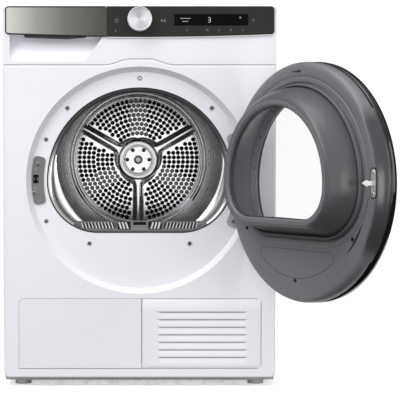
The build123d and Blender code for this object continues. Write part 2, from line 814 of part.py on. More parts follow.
def base_tray():
    x = (-tray_x, tray_x)
    tray = block(x, tray_y, (tray_z, tray_top))
    tray -= block((x[0] + 3, x[1] - 3), (tray_y[0] + 3, tray_y[1] - 3), (tray_floor_z, tray_top + 1))
    for edge in duct_x:
        tray += block((edge - 1.5, edge + 1.5), duct_y, (tray_z, duct_top))
    front = block((duct_x[0], duct_x[1]), (duct_y[0], duct_y[0] + 3), (tray_z, duct_top))
    mouth_x = (duct_x[0] + 12, duct_x[1] - 12)
    tray += front - block(mouth_x, (duct_y[0] - 1, duct_y[0] + 4), (tray_top + 2, duct_top - 14))
    for lx in lock_places.values():
        tray += block((lx - 9, lx + 9), (duct_y[0] + 3, duct_y[0] + 8), (tray_floor_z, tray_top))
    for fx in (-foot_x, foot_x):
        for fy in (foot_front_y, foot_rear_y):
            tray += rod_z(foot_stem_r + 8, fx, fy, (tray_z, foot_top + 6))
            tray -= rod_z(foot_stem_r + fit_gap, fx, fy, (tray_z - 1, foot_top + 7))
    scroll_x = (motor_x - scroll_r - 1, motor_x + scroll_r + 1)
    tray -= block(scroll_x, (tray_y[1] - 4, tray_y[1] + 1), (tray_floor_z, tray_top + 1))
    post_y = (arm_y[1] + 1, arm_y[1] + 21)
    tray += block((arm_x - 9, arm_x + 9), post_y, (tray_floor_z - 1, arm_z + 8))
    tray += rod_y(arm_pin_r, arm_x, (arm_y[0] - 1, post_y[0] + 1), arm_z)
    post_x = (spring_x - 5, spring_x + 5)
    spring_post_y = (spring_y + spring_reach, spring_y + spring_reach + 8)
    tray += block(post_x, spring_post_y, (tray_floor_z - 1, spring_low_z + 6))
    for _, y, z in pipe_runs:
        tray -= rod_x(pipe_r + free_gap, (duct_x[1] - 3, duct_x[1] + 3), y, z)
    tray += rod_y(drain_collar_r, drain_x, (tray_y[1] - 2, rear_panel_y + 4), drain_z)
    tray += rod_y(drain_r, drain_x, (tray_y[1] - 2, rear_panel_y + 30), drain_z)
    tray -= rod_y(drain_r - 3, drain_x, (tray_y[1] - 6, rear_panel_y + 31), drain_z)
    return tray


def heat_exchanger_cover():
    plate = slab(rect((duct_x[0] + 2, duct_x[1] - 2), cover_z, 8), cover_y)
    for lx in lock_places.values():
        plate -= rod_y(5 + fit_gap, lx, (cover_y[0] - 1, cover_y[1] + 1), lock_z)
    return plate


def cover_lock(x):
    disc = rod_y(15, x, (cover_y[0] - 4, cover_y[0] - free_gap), lock_z)
    disc += block((x - 13, x + 13), (cover_y[0] - 11, cover_y[0] - 3), (lock_z - 3, lock_z + 3))
    return disc + rod_y(5, x, (cover_y[0] - 1, cover_y[1] - 1), lock_z)


def fin_block(y):
    """A finned coil: a core with grooves that run up both faces."""
    x = (duct_x[0] + 8, duct_x[1] - 8)
    z = (tray_floor_z, duct_top - 4)
    coil = block(x, y, z)
    groove = 4.0
    pitch = 8.0
    count = int((x[1] - x[0]) / pitch)
    for k in range(count):
        gx = x[0] + pitch * (k + 0.5)
        for edge in (y[0], y[1] - 12):
            coil -= block((gx - groove / 2, gx + groove / 2), (edge, edge + 12), (z[0] + 8, z[1] - 8))
    return coil


def evaporator():
    return fin_block((duct_y[0] + 40, duct_y[0] + 140))


def condenser():
    return fin_block((duct_y[0] + 152, duct_y[0] + 290))


compressor_x = width / 2 - 95.0
compressor_y = duct_y[1]
compressor_r = 66.0


def compressor():
    z = (tray_floor_z + 20, tray_floor_z + 200)
    pot = rod_z(compressor_r, compressor_x, compressor_y, z)
    pot = fillet(pot.edges().filter_by(GeomType.CIRCLE), 22.0)
    for k in range(3):
        a = math.radians(90 + 120 * k)
        x = compressor_x + (compressor_r + 4) * math.cos(a)
        y = compressor_y + (compressor_r + 4) * math.sin(a)
        pot += rod_z(11, x, y, (tray_floor_z, z[0] + 26))
    return pot


pipe_r = 4.0
pipe_runs = [(compressor_x + 12, duct_y[0] + 90, 100.0), (compressor_x - 12, duct_y[0] + 176, 60.0)]


def pipe(points):
    path = FilletPolyline(*points, radius=18)
    start = Plane(origin=points[0], z_dir=Vector(*points[1]) - Vector(*points[0]))
    return sweep(start * Circle(pipe_r), path=path)


def refrigerant_pipes():
    """One pipe from each coil's right side round to the front of the compressor."""
    coil_x = duct_x[1] - 8
    end_y = compressor_y - compressor_r - free_gap
    runs = [pipe([(coil_x, y, z), (x, y, z), (x, end_y, z)]) for x, y, z in pipe_runs]
    return Compound(runs)


def condensate_pump():
    x = (-width / 2 + 50.0, -width / 2 + 130.0)
    y = (rear_panel_y - 120.0, rear_panel_y - 50.0)
    body_top = tray_floor_z + 52.0
    body = block(x, y, (tray_floor_z, body_top))
    body = fillet(body.edges().filter_by(Axis.Z), 10.0)
    return body + rod_z(20, (x[0] + x[1]) / 2, (y[0] + y[1]) / 2, (body_top - 1, body_top + 40))


def cable_gland():
    y = (rear_panel_y - 10, rear_panel_y + 14)
    plug = rod_y(inlet_r - fit_gap, inlet_x, y, inlet_z)
    plug += rod_y(inlet_r + 4, inlet_x, (rear_panel_y + sheet, rear_panel_y + sheet + 5), inlet_z)
    return plug - rod_y(4.5, inlet_x, (y[0] - 1, y[1] + 1), inlet_z)


def foot(x, y):
    pad = rod_z(foot_pad_r, x, y, (0, foot_h))
    pad = fillet(pad.edges().filter_by(GeomType.CIRCLE).sort_by(Axis.Z)[-1:], 3.0)
    return pad + rod_z(foot_stem_r, x, y, (foot_h - 1, foot_top))


# Lower front
def service_flap():
    x = (flap_x[0] + panel_gap / 2, flap_x[1])
    z = (lower_z[0] + panel_gap, lower_z[1] - panel_gap / 2)
    face = rect(x, z)
    upper = face.vertices().sort_by(lambda v: v.X - v.Y)[0]
    face = fillet(upper, lower_corner - panel_gap / 2)
    lower = face.vertices().sort_by(lambda v: v.X + v.Y)[0]
    plate = slab(fillet(lower, pivot_corner - panel_gap / 2), (front_y, front_y + wall))
    for ends in ((x[0] + 12, x[0] + 24), (x[1] - 14, x[1] - 2)):
        plate += block(ends, (front_y + wall - 0.5, pivot_y + 3), (pivot_z - 3, pivot_z + 3))
    stub = rod_x(pivot_r, (flap_x[0] - 4, x[0] + 13), pivot_y, pivot_z)
    return plate + stub + rod_x(pivot_r, (x[1] - 3, louvre_x[0] + 2), pivot_y, pivot_z)


def louvre_panel():
    z = (lower_z[0] + panel_gap / 2, lower_z[1] - panel_gap / 2)
    x = (louvre_x[0], louvre_x[1] - panel_gap / 2)
    face = rect(x, z)
    right = face.vertices().sort_by(Axis.X)[-2:]
    outline = fillet(right, lower_corner - panel_gap / 2)
    plate = slab(outline, (front_y, front_y + 14))
    inside = rect((x[0] + wall, x[1] - wall), (z[0] + wall, z[1] - wall), 8)
    plate -= slab(inside, (front_y + wall, front_y + 15))
    plate -= rod_x(pivot_r + fit_gap, (x[0] - 1, x[0] + wall + 1), pivot_y, pivot_z)
    slot_x = (louvre_x[0] + 38.0, louvre_x[1] - 36.0)
    slot_h = 4.4
    slots = 7
    low = lower_z[0] + 26.0
    pitch = (lower_z[1] - 30.0 - low) / (slots - 1)
    for k in range(slots):
        slot = rect(slot_x, (low + pitch * k, low + pitch * k + slot_h), 2.1)
        plate -= slab(slot, (front_y - 1, front_y + 5))
    return plate


# Door, drawn shut and then swung open about its hinge
rim_y = front_y + 8.0
frame_back_y = rim_y - door_t
dome_y = rim_y + dome_depth
dome_inset = 11.0
tip_inset = 39.0
tip_flat_inset = 30.5
window_r = door_r - 68.0
ring_y = (frame_back_y - 9.5, frame_back_y - free_gap)
pocket_half = 50.0
hinge_pocket_x = hinge_x - 28.0
arm_half = 38.0


def swing(shape):
    return shape.rotate(Axis((hinge_x, hinge_y, 0), (0, 0, 1)), door_open_deg)


def dome_base(inset):
    return opening(dome_inset + inset)


def dome_tip(inset):
    return opening(tip_inset + inset, tip_flat_inset + inset)


def loft_between(a, b, y):
    def at(face, place):
        return Plane(origin=(0, place, 0), x_dir=(1, 0, 0), z_dir=(0, -1, 0)) * face

    return loft([at(a, y[0]), at(b, y[1])], ruled=True)


def rim_section(face_r, drop, edge_r, inset):
    """The liner's rim: a flat face, then a scoop that drops before the outer edge."""
    low = frame_back_y - (1 if inset else 0)
    slope = 0.8 * drop + 3.0
    return [
        (opening_flat / 2 - inset, low),
        (opening_flat / 2 - inset, rim_y - inset),
        (face_r, rim_y - inset),
        (face_r + slope, rim_y - drop - inset),
        (edge_r - 7 - inset, rim_y - drop - 3 - inset),
        (edge_r - inset, rim_y - drop - 10 - inset),
        (edge_r - inset, low),
    ]


grip_half_deg = 33.0
scoop_drop = 10.0
hook_half_x = 8.0
hook_z = (door_z + latch_rise - 28.0, door_z + latch_rise + 28.0)
hook_y = (rim_y - 2.0, rim_y)


def door_rim(t):
    """The rim all round, and its finger scoop on the side away from the hinge."""
    edge = slab(sector(opening_flat, door_r + 10, grip_half_deg, 180), (frame_back_y - 2, rim_y + 1))
    plain = turned(rim_section(door_r - 16, 1.0, door_r, 0), door_z)
    plain -= turned(rim_section(door_r - 16, 1.0, door_r, t), door_z)
    scoop = turned(rim_section(door_r - 30, scoop_drop, door_r, 0), door_z)
    scoop -= turned(rim_section(door_r - 30, scoop_drop, door_r, t), door_z)
    rim = (plain - edge) + (scoop & edge)
    for side in (-1, 1):
        a = math.radians(180 + side * grip_half_deg)
        mid = (door_r - 17) * math.cos(a), (door_r - 17) * math.sin(a)
        web = Pos(*mid) * Rot(0, 0, math.degrees(a)) * Rectangle(30, t)
        rim += slab(Pos(0, door_z) * web, (frame_back_y, rim_y - scoop_drop)) & turned(
            rim_section(door_r - 16, 1.0, door_r, 0), door_z
        )
    return rim


def door_frame():
    t = 3.0
    rim = door_rim(t)
    pocket_wall = block(
        (hinge_pocket_x - t, door_r - 4),
        (frame_back_y, rim_y - 1),
        (door_z - pocket_half - t, door_z + pocket_half + t),
    )
    rim += pocket_wall & turned(rim_section(door_r - 16, 1.0, door_r, 0), door_z)
    dome = loft_between(dome_base(0), dome_tip(0), (rim_y - t, dome_y))
    rim -= slab(dome_base(t + 1), (frame_back_y - 1, rim_y + 1))
    rim += dome
    rim -= loft_between(dome_base(t), dome_tip(t), (rim_y - t - 0.5, dome_y - t))
    rim -= slab(dome_tip(10), (frame_back_y, dome_y + 1))
    hook_x = (latch_x - hook_half_x, latch_x + hook_half_x)
    rim += block(hook_x, (rim_y - scoop_drop - t, hook_y[0]), hook_z)
    rim -= block(hook_x, (hook_y[0], rim_y + 1), hook_z)
    pocket = block(
        (hinge_pocket_x, door_r + 10),
        (frame_back_y - 1, rim_y + 1),
        (door_z - pocket_half, door_z + pocket_half),
    )
    return rim - pocket


def door_outer_ring():
    seat = 6.0
    ring_r = door_r - 3.0
    chamfer = 5.5
    ring = turned(
        [
            (window_r, ring_y[1]),
            (ring_r, ring_y[1]),
            (ring_r, ring_y[0] + chamfer),
            (ring_r - chamfer, ring_y[0]),
            (window_r + seat, ring_y[0]),
            (window_r + seat, ring_y[1] - 2.5),
            (window_r, ring_y[1] - 2.5),
        ],
        door_z,
    )
    return ring


def door_outer_window():
    r = window_r + 6 - free_gap
    back = ring_y[1] - 2.5
    bulge = 9.0
    t = 4.0
    ball_r = (r**2 + bulge**2) / (2 * bulge)
    half_way = bulge - ball_r + math.sqrt(ball_r**2 - r**2 / 4)
    edges = [
        Line((0, back - bulge), (0, back - bulge - t)),
        ThreePointArc((0, back - bulge - t), (r / 2, back - t - half_way), (r, back - t)),
        Line((r, back - t), (r, back)),
        ThreePointArc((r, back), (r / 2, back - half_way), (0, back - bulge)),
    ]
    return Pos(0, 0, door_z) * revolve(make_face(edges), axis=Axis.Y)


def door_inner_window():
    return slab(dome_tip(6), (dome_y - 7, dome_y - 3))


def door_gasket():
    ring = opening(2.0) - opening(dome_inset - 2 * free_gap)
    return slab(ring, (rim_y, bulkhead_y - free_gap))


def door_hinge_arm():
    z = (door_z - arm_half, door_z + arm_half)
    arm = rod_z(7, hinge_x, hinge_y, z)
    arm += block((hinge_pocket_x, hinge_x), (hinge_y - 3, hinge_y + 3), z)
    arm += block((hinge_pocket_x, hinge_pocket_x + 3), (frame_back_y + 2, rim_y - 3), z)
    return arm - rod_z(hinge_pin_r + fit_gap, hinge_x, hinge_y, (z[0] - 1, z[1] + 1))


def hinge_plate():
    """The hinge's fixed half: a plate, two lugs and the pin riveted into them."""
    plate = slab(sector(*plate_r, 27, 0, 11.0), (dish_y - plate_t, dish_y))
    for side in (-1, 1):
        z0 = door_z + side * (arm_half + 2)
        z = (min(z0, z0 + side * 7), max(z0, z0 + side * 7))
        knuckle = Pos(hinge_x, hinge_y) * CenterArc((0, 0), 7, 0, 360)
        foot_edge = Line((opening_r - 1, dish_y - 1), (opening_r + 9, dish_y - 1))
        arm = Pos(0, 0, z[0]) * extrude(make_hull([knuckle, foot_edge]), amount=z[1] - z[0])
        plate += arm
    pin_half = arm_half + 11
    plate += rod_z(hinge_pin_r, hinge_x, hinge_y, (door_z - pin_half, door_z + pin_half))
    for x, rise in hinge_screws:
        plate -= rod_y(screw_r + free_gap, x, (dish_y - plate_t - 1, dish_y + 1), door_z + rise)
    return plate


def latch_plate():
    plate = slab(sector(*plate_r, 13.5, 180, 9.0), (dish_y - plate_t, dish_y))
    plate += block(housing_x, (dish_y - 1, dish_y + 30), housing_z)
    mid = door_z + latch_rise
    plate -= block((latch_x - 6, latch_x + 6), (dish_y - 5, dish_y + 27), (mid - 9.5, mid + 9.5))
    for x, rise in latch_screws:
        plate -= rod_y(screw_r + free_gap, x, (dish_y - plate_t - 1, dish_y + 1), door_z + rise)
    return plate


def door_hook():
    mid = door_z + latch_rise
    foot_plate = block((latch_x - hook_half_x, latch_x + hook_half_x), hook_y, hook_z)
    reach = 20.0
    stem = block((latch_x - 1.5, latch_x + 1.5), (hook_y[0] + 1, rim_y + reach), (mid - 5, mid + 5))
    tip = Plane(origin=(latch_x - 1.5, rim_y + reach, mid), x_dir=(0, 1, 0), z_dir=(1, 0, 0))
    head = make_face(Polyline((-6, -7.5), (-6, 7.5), (8, 0), close=True))
    return foot_plate + stem + extrude(tip * head, amount=3)


liner_screws = [polar(door_r - 45.0, deg) for deg in (-148, -88, -30)]


def door_screws():
    screws = []
    for x, rise in liner_screws:
        screws.append(rod_y(4, x, (rim_y, rim_y + 1.5), door_z + rise))
    return Compound(screws)


def front_screws():
    screws = []
    raised = hinge_screws + latch_screws
    for x, rise in seat_screws + tub_screws + raised:
        seat = dish_y - plate_t if (x, rise) in raised else dish_y
        head = rod_y(screw_head_r, x, (seat - screw_head_h, seat), door_z + rise)
        screws.append(head + rod_y(screw_r, x, (seat - 1, dish_back_y + 5), door_z + rise))
    return Compound(screws)


# Lint filter
filter_y = (bulkhead_y + 3.0, drum_front_y - 1.0)
filter_floor = door_z - opening_flat + tube_floor + free_gap
filter_front = filter_floor + 2.0
filter_back = filter_floor + 19.0
basket_x = pocket_x - 1.5
basket_y = (pocket_y[0] + 2.0, pocket_y[1] - 2.0)
basket_low = pocket_low + 6.0


def filter_wedge(drop):
    side = [
        (filter_y[0], filter_floor),
        (filter_y[1], filter_floor),
        (filter_y[1], filter_back - drop),
        (filter_y[0], filter_front - drop),
    ]
    plane = Plane(origin=(-opening_r, 0, 0), x_dir=(0, 1, 0), z_dir=(1, 0, 0))
    return extrude(plane * make_face(Polyline(*side, close=True)), amount=2 * opening_r)


def lint_filter_frame():
    top = filter_wedge(0) & slab(opening(tube_inset + 0.8, tube_floor), filter_y)
    mid_y = (filter_y[0] + filter_y[1]) / 2
    slots = []
    for side in (-1, 1):
        places = [52 + 8 * k for k in range(10)] + [24, 32, 40]
        for x in places:
            bar = block((-1.8, 1.8), (-17, 17), (filter_floor - 1, filter_back + 1))
            slots.append(Pos(side * x, mid_y, 0) * Rot(0, 0, side * 25) * bar)
    top -= slots
    t = 1.8
    basket = block((-basket_x, basket_x), basket_y, (basket_low, filter_floor + 1))
    inner_y = (basket_y[0] + t, basket_y[1] - t)
    basket -= block((-basket_x + t, basket_x - t), inner_y, (basket_low + t, filter_floor + 2))
    window_z = (basket_low + 14, filter_floor - 14)
    basket -= block((-basket_x + 12, basket_x - 12), (basket_y[0] - 1, basket_y[1] + 1), window_z)
    handle_top = filter_floor + 12.0
    handle = block((-18, 18), (filter_y[0] + 6, filter_y[1] - 6), (filter_floor, handle_top))
    handle = fillet(handle.edges().group_by(Axis.Z)[-1], 3.0)
    handle -= block((-14, 14), (filter_y[0] + 14, filter_y[1] - 20), (filter_floor + 4, handle_top + 1))
    return top + basket + handle


def lint_filter_mesh():
    t = 0.6
    x = (-basket_x + 5, basket_x - 5)
    z = (basket_low + 8, filter_floor - 8)
    front = block(x, (basket_y[0] + 1.8, basket_y[0] + 1.8 + t), z)
    back = block(x, (basket_y[1] - 1.8 - t, basket_y[1] - 1.8), z)
    return Compound([front, back])


def tension_spring():
    """A pull spring, its first and last turns beside the stud and the post that hold it."""
    reach = 4.0
    turns = 18
    length = spring_top_z - spring_low_z + 2 * reach
    coil = Helix(pitch=length / turns, height=length, radius=coil_r)
    start = Plane(origin=coil @ 0, z_dir=coil % 0)
    spring = sweep(start * Circle(wire_r), path=coil, is_frenet=True)
    return Pos(spring_x, spring_y, spring_low_z - reach) * spring


def build():
    nodes = {
        "base_tray": base_tray,
        "left_side_panel": lambda: side_panel(-1),
        "right_side_panel": lambda: side_panel(1),
        "rear_panel": rear_panel,
        "rear_duct_cover": rear_duct_cover,
        "worktop": worktop,
        "front_panel": front_panel,
        "upper_front_panel": upper_front_panel,
        "control_fascia": control_fascia,
        "display_module": display_module,
        "front_bulkhead": front_bulkhead,
        "loading_tunnel": loading_tunnel,
        "front_drum_seal": front_drum_seal,
        "rear_bearing": rear_bearing,
        "latch_plate": latch_plate,
        "hinge_plate": hinge_plate,
        "front_screws": front_screws,
        "louvre_panel": louvre_panel,
        "heat_exchanger_cover": heat_exchanger_cover,
        "condenser": condenser,
        "evaporator": evaporator,
        "compressor": compressor,
        "refrigerant_pipes": refrigerant_pipes,
        "drive_motor": drive_motor,
        "fan_housing": fan_housing,
        "condensate_pump": condensate_pump,
        "tank_shelf": tank_shelf,
        "drive_belt": drive_belt,
        "tension_spring": tension_spring,
        "cable_gland": cable_gland,
        "drum_shell": drum_shell,
        "drum_back": drum_back,
        "drum_lifters": drum_lifters,
        "drum_hub": drum_hub,
        "hub_screws": hub_screws,
        "motor_shaft": motor_shaft,
        "blower_fan": blower_fan,
        "idler_arm": idler_arm,
        "idler_pulley": idler_pulley,
        "front_roller_left": lambda: front_roller(-1),
        "front_roller_right": lambda: front_roller(1),
        "door_frame": lambda: swing(door_frame()),
        "door_outer_ring": lambda: swing(door_outer_ring()),
        "door_outer_window": lambda: swing(door_outer_window()),
        "door_inner_window": lambda: swing(door_inner_window()),
        "door_gasket": lambda: swing(door_gasket()),
        "door_hinge_arm": lambda: swing(door_hinge_arm()),
        "door_hook": lambda: swing(door_hook()),
        "door_screws": lambda: swing(door_screws()),
        "lint_filter_frame": lint_filter_frame,
        "lint_filter_mesh": lint_filter_mesh,
        "tank_front": tank_front,
        "water_tank": water_tank,
        "service_flap": service_flap,
        "dial_knob": dial_knob,
        "cover_lock_left": lambda: cover_lock(lock_places["left"]),
        "cover_lock_right": lambda: cover_lock(lock_places["right"]),
        "foot_front_left": lambda: foot(-foot_x, foot_front_y),
        "foot_front_right": lambda: foot(foot_x, foot_front_y),
        "rear_feet": lambda: Compound([foot(side * foot_x, foot_rear_y) for side in (-1, 1)]),
    }
    os.makedirs("parts", exist_ok=True)
    for name, make in nodes.items():
        export_step(make(), f"parts/{name}.step")


build()
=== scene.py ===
"""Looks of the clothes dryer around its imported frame. All lengths are in metres."""
import json
from functools import partial
from math import acos, asin, atan2, cos, degrees, exp, hypot, pi, radians, sin, sqrt

import bmesh
import bpy
from mathutils import Matrix, Vector


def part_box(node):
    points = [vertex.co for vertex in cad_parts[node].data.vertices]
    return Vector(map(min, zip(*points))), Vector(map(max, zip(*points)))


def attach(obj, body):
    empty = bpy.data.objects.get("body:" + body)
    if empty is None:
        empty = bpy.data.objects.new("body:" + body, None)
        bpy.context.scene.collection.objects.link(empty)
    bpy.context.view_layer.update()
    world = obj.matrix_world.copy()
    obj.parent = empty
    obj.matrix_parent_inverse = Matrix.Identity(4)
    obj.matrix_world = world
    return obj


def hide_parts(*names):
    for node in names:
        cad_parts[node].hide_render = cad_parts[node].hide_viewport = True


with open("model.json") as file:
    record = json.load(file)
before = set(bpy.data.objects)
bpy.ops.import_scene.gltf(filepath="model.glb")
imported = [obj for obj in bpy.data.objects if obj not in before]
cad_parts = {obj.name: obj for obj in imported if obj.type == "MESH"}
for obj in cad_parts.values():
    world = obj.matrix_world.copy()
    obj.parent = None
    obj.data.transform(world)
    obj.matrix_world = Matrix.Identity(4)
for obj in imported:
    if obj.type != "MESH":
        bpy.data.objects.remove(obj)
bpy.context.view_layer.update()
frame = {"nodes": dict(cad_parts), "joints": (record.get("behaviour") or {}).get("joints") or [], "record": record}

mm = 0.001
nodes = frame["nodes"]
joints = {joint["name"]: joint for joint in frame["joints"]}

# Places read from the frame
hinge = Vector(joints["door_swing"]["pos_m"])
door_turn = -radians(joints["door_swing"]["range_deg"][0])
door_z = hinge.z
drum_z = joints["drum_spin"]["pos_m"][2]
dial_z = joints["dial_turn"]["pos_m"][2]
front_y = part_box("upper_front_panel")[0].y
fascia_low, fascia_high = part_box("control_fascia")
fascia_y = fascia_low.y
door_r = (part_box("door_frame")[1].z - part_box("door_frame")[0].z) / 2

# Door and opening, as the solids have them
opening_r = 205 * mm
opening_flat = 116.5 * mm
opening_corner = 113 * mm
dish_y = front_y + 13 * mm
rim_y = front_y + 8 * mm
bulkhead_y = dish_y + 8 * mm
door_t = 30 * mm
dome_depth = 66 * mm
window_r = door_r - 68 * mm
filter_z = door_z - opening_flat + 6.3 * mm
seat_r = 225.4 * mm
latch_x = -seat_r - 4 * mm
latch_up = 3 * mm
latch_z = door_z + latch_up
plate_y = dish_y - 2.2 * mm
fascia_bow = 6 * mm

# Drum back, as the solids have it
field_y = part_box("drum_back")[1].y - 6 * mm
field_face = field_y - 1.2 * mm
spoke_deg = (270, 30, 150)
field_r = 163 * mm
cap_r = 46 * mm
hole_r = 3.8 * mm
hole_pitch = 11.7 * mm


def smooth(low, high, value):
    """0 below low, 1 above high, and an even rise between."""
    t = min(max((value - low) / (high - low), 0.0), 1.0)
    return t * t * (3 - 2 * t)


def mix(a, b, t):
    return a + (b - a) * t


def spaced(a, b, steps):
    """Evenly spaced values from a to b."""
    return [mix(a, b, k / steps) for k in range(steps + 1)]


def level(points, value):
    """A height read from a list of (place, height) points."""
    for (x0, h0), (x1, h1) in zip(points, points[1:]):
        if value <= x1:
            return mix(h0, h1, min(max((value - x0) / (x1 - x0), 0), 1))
    return points[-1][1]


def polar(r, angle):
    return r * cos(angle), r * sin(angle)


def angles(steps):
    return [2 * pi * k / steps for k in range(steps)]


# Mesh helpers


def add_mesh(name, verts, faces, shaded=True):
    mesh = bpy.data.meshes.new(name)
    mesh.from_pydata([tuple(v) for v in verts], [], faces)
    work = bmesh.new()
    work.from_mesh(mesh)
    bmesh.ops.remove_doubles(work, verts=work.verts, dist=1e-7)
    bmesh.ops.recalc_face_normals(work, faces=work.faces)
    for face in work.faces:
        face.smooth = shaded
    work.to_mesh(mesh)
    work.free()
    piece = bpy.data.objects.new(name, mesh)
    bpy.context.scene.collection.objects.link(piece)
    return piece


def dress(piece, body, slot, look_name, *replaced):
    """Gives a new piece its finish, its body and the nodes that it stands for."""
    piece.data.materials.append(looks[look_name])
    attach(piece, body)
    if replaced:
        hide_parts(*replaced)


def grid_faces(rows, columns, wrap_rows=False, wrap_columns=True, start=0):
    faces = []
    for i in range(rows if wrap_rows else rows - 1):
        for j in range(columns if wrap_columns else columns - 1):
            a = i * columns + j
            b = i * columns + (j + 1) % columns
            c = ((i + 1) % rows) * columns + (j + 1) % columns
            d = ((i + 1) % rows) * columns + j
            faces.append((a + start, b + start, c + start, d + start))
    return faces


def shell_faces(rows, columns, start=0):
    """Faces of a closed sheet: a front grid, a back grid after it, and the edge between them."""
    back = rows * columns
    faces = grid_faces(rows, columns, wrap_columns=False, start=start)
    faces += grid_faces(rows, columns, wrap_columns=False, start=start + back)
    loop = list(range(columns)) + [(i + 1) * columns - 1 for i in range(1, rows)]
    loop += [back - 1 - k for k in range(1, columns)] + [i * columns for i in range(rows - 2, 0, -1)]
    for a, b in zip(loop, loop[1:] + loop[:1]):
        faces.append((start + a, start + b, start + b + back, start + a + back))
    return faces


def swung(point):
    """A place on the shut door, moved to where the open door has it."""
    turn = Matrix.Rotation(door_turn, 3, "Z")
    return turn @ (Vector(point) - hinge) + hinge


def on_door(x, depth, z):
    """A place on the door, by its depth from the liner's face and its height from the door's middle."""
    return swung((x, rim_y + depth, door_z + z))


def ring_points(radius, y, steps, x, z):
    """Points round an axis along Y; the radius is a length, or a function that gives it for an angle."""
    points = []
    for angle in angles(steps):
        across, up = polar(radius(angle) if callable(radius) else radius, angle)
        points.append((x + across, y, z + up))
    return points


def turned(name, places, profile, steps=20, swing=False):
    """One turned shape at each (x, y, z) place, from (radius, rise) points in mm.

    It rises to the front, and on the shut door to the drum.
    """
    verts = []
    faces = []
    way = mm if swing else -mm
    for x, y, z in places:
        faces += grid_faces(len(profile), steps, wrap_rows=True, start=len(verts))
        for r, rise in profile:
            verts += ring_points(r * mm, y + rise * way, steps, x, z)
    if swing:
        verts = [swung(point) for point in verts]
    return add_mesh(name, verts, faces)


def swept(name, outline, section, base, steps, swing=False):
    """A closed band round the door's axis; its section gives the outline's insets and a depth, in mm."""
    verts = []
    for *insets, back in section:
        given = [inset * mm for inset in insets]
        verts += ring_points(lambda angle: outline(angle, *given), base + back * mm, steps, 0, door_z)
    if swing:
        verts = [swung(point) for point in verts]
    return add_mesh(name, verts, grid_faces(len(section), steps, wrap_rows=True))


def prisms(name, outlines, front, back):
    """Flat-sided plates: front and back turn an outline point into its places on the two faces."""
    verts = []
    faces = []
    for outline in outlines:
        start = len(verts)
        count = len(outline)
        verts += [front(a, b) for a, b in outline]
        verts += [back(a, b) for a, b in outline]
        faces.append(tuple(range(start, start + count)))
        faces.append(tuple(range(start + 2 * count - 1, start + count - 1, -1)))
        for k in range(count):
            n = (k + 1) % count
            faces.append((start + k, start + n, start + count + n, start + count + k))
    return add_mesh(name, verts, faces, shaded=False)


def plates(name, outlines, front, thickness):
    """Thin flat plates that face the front, from (x, z) outlines."""
    return prisms(name, outlines, lambda x, z: (x, front, z), lambda x, z: (x, front + thickness, z))


def strip(name, path, section, base, shaded=True):
    """A closed bar along (x, z) places, each with the way that its section's (out, back) mm go out."""
    wide = len(section)
    verts = []
    for x, z, across, up in path:
        for out, back in section:
            verts.append((x + across * out * mm, base + back * mm, z + up * out * mm))
    faces = grid_faces(len(path), wide)
    faces += [tuple(range(wide)), tuple(range(len(verts) - 1, len(verts) - wide - 1, -1))]
    return add_mesh(name, verts, faces, shaded)


def add_painted_shade_mask(piece, amount):
    """Writes the mesh's grip value, the mask of painted shade that the blend reads, from each point's number."""
    grip = piece.data.attributes.new("grip", "FLOAT", "POINT")
    for index, place in enumerate(grip.data):
        place.value = amount(index)


def dee_radius(angle, radius, flat, corner):
    """How far a round outline with a flat bottom and round lower corners is from its centre."""
    across = abs(cos(angle))
    up = sin(angle)
    corner_z = corner - flat
    corner_x = sqrt((radius - corner) ** 2 - corner_z**2)
    if atan2(up, across) >= atan2(corner_z, corner_x):
        return radius
    if up < 0 and flat / -up * across <= corner_x:
        return flat / -up
    along = corner_x * across + corner_z * up
    return along + sqrt(along**2 - corner_x**2 - corner_z**2 + corner**2)


def opening_outline(angle, inset, flat_inset=None):
    low = inset if flat_inset is None else flat_inset
    return dee_radius(angle, opening_r - inset, opening_flat - low, opening_corner - (inset + low) / 2)


# Materials


def link(a, b):
    a.id_data.links.new(a, b)


def node(tree, kind, inputs=(), **settings):
    """A new shader node, with its settings and the constants of its inputs."""
    made = tree.nodes.new("ShaderNode" + kind)
    for key, value in settings.items():
        setattr(made, key, value)
    for key, value in dict(inputs).items():
        made.inputs[key].default_value = value
    return made


def step(source, kind, inputs=(), into=0, out=0, **settings):
    """A new shader node that is fed by a source; gives what it puts out."""
    made = node(source.id_data, kind, inputs, **settings)
    link(source, made.inputs[into])
    return made.outputs[out]


def ramp(source, stops):
    made = node(source.id_data, "ValToRGB")
    points = made.color_ramp.elements
    while len(points) < len(stops):
        points.new(stops[len(points) - 1][0])
    for point, (place, colour) in zip(points, stops):
        point.position = place
        point.color = (*colour, 1.0)
    link(source, made.inputs["Fac"])
    return made.outputs["Color"]


def socket(material, name):
    return material.node_tree.nodes["Principled BSDF"].inputs[name]


def shader(name, colour, roughness, metallic=0.0):
    material = bpy.data.materials.new(name)
    material.use_nodes = True
    socket(material, "Base Color").default_value = (*colour, 1.0)
    socket(material, "Roughness").default_value = roughness
    socket(material, "Metallic").default_value = metallic
    return material


def object_place(material):
    return node(material.node_tree, "TexCoord").outputs["Object"]


def object_axes(material):
    return step(object_place(material), "SeparateXYZ").node.outputs


def place_noise(material, scale, stretch=(1, 1, 1)):
    """Noise fixed to the piece, stretched along an axis where the finish has a direction."""
    fit = step(object_place(material), "Mapping", {"Scale": stretch})
    return step(fit, "TexNoise", {"Scale": scale, "Detail": 3.0}, out="Fac")


def paint(material, tint, gloss):
    link(tint, socket(material, "Base Color"))
    link(gloss, socket(material, "Roughness"))


def emboss(material, height, strength, distance):
    relief = step(height, "Bump", {"Strength": strength, "Distance": distance}, into="Height")
    link(relief, socket(material, "Normal"))


def grey(value):
    return (value, value, value)


def shade(colour, factor):
    return tuple(part * factor for part in colour)


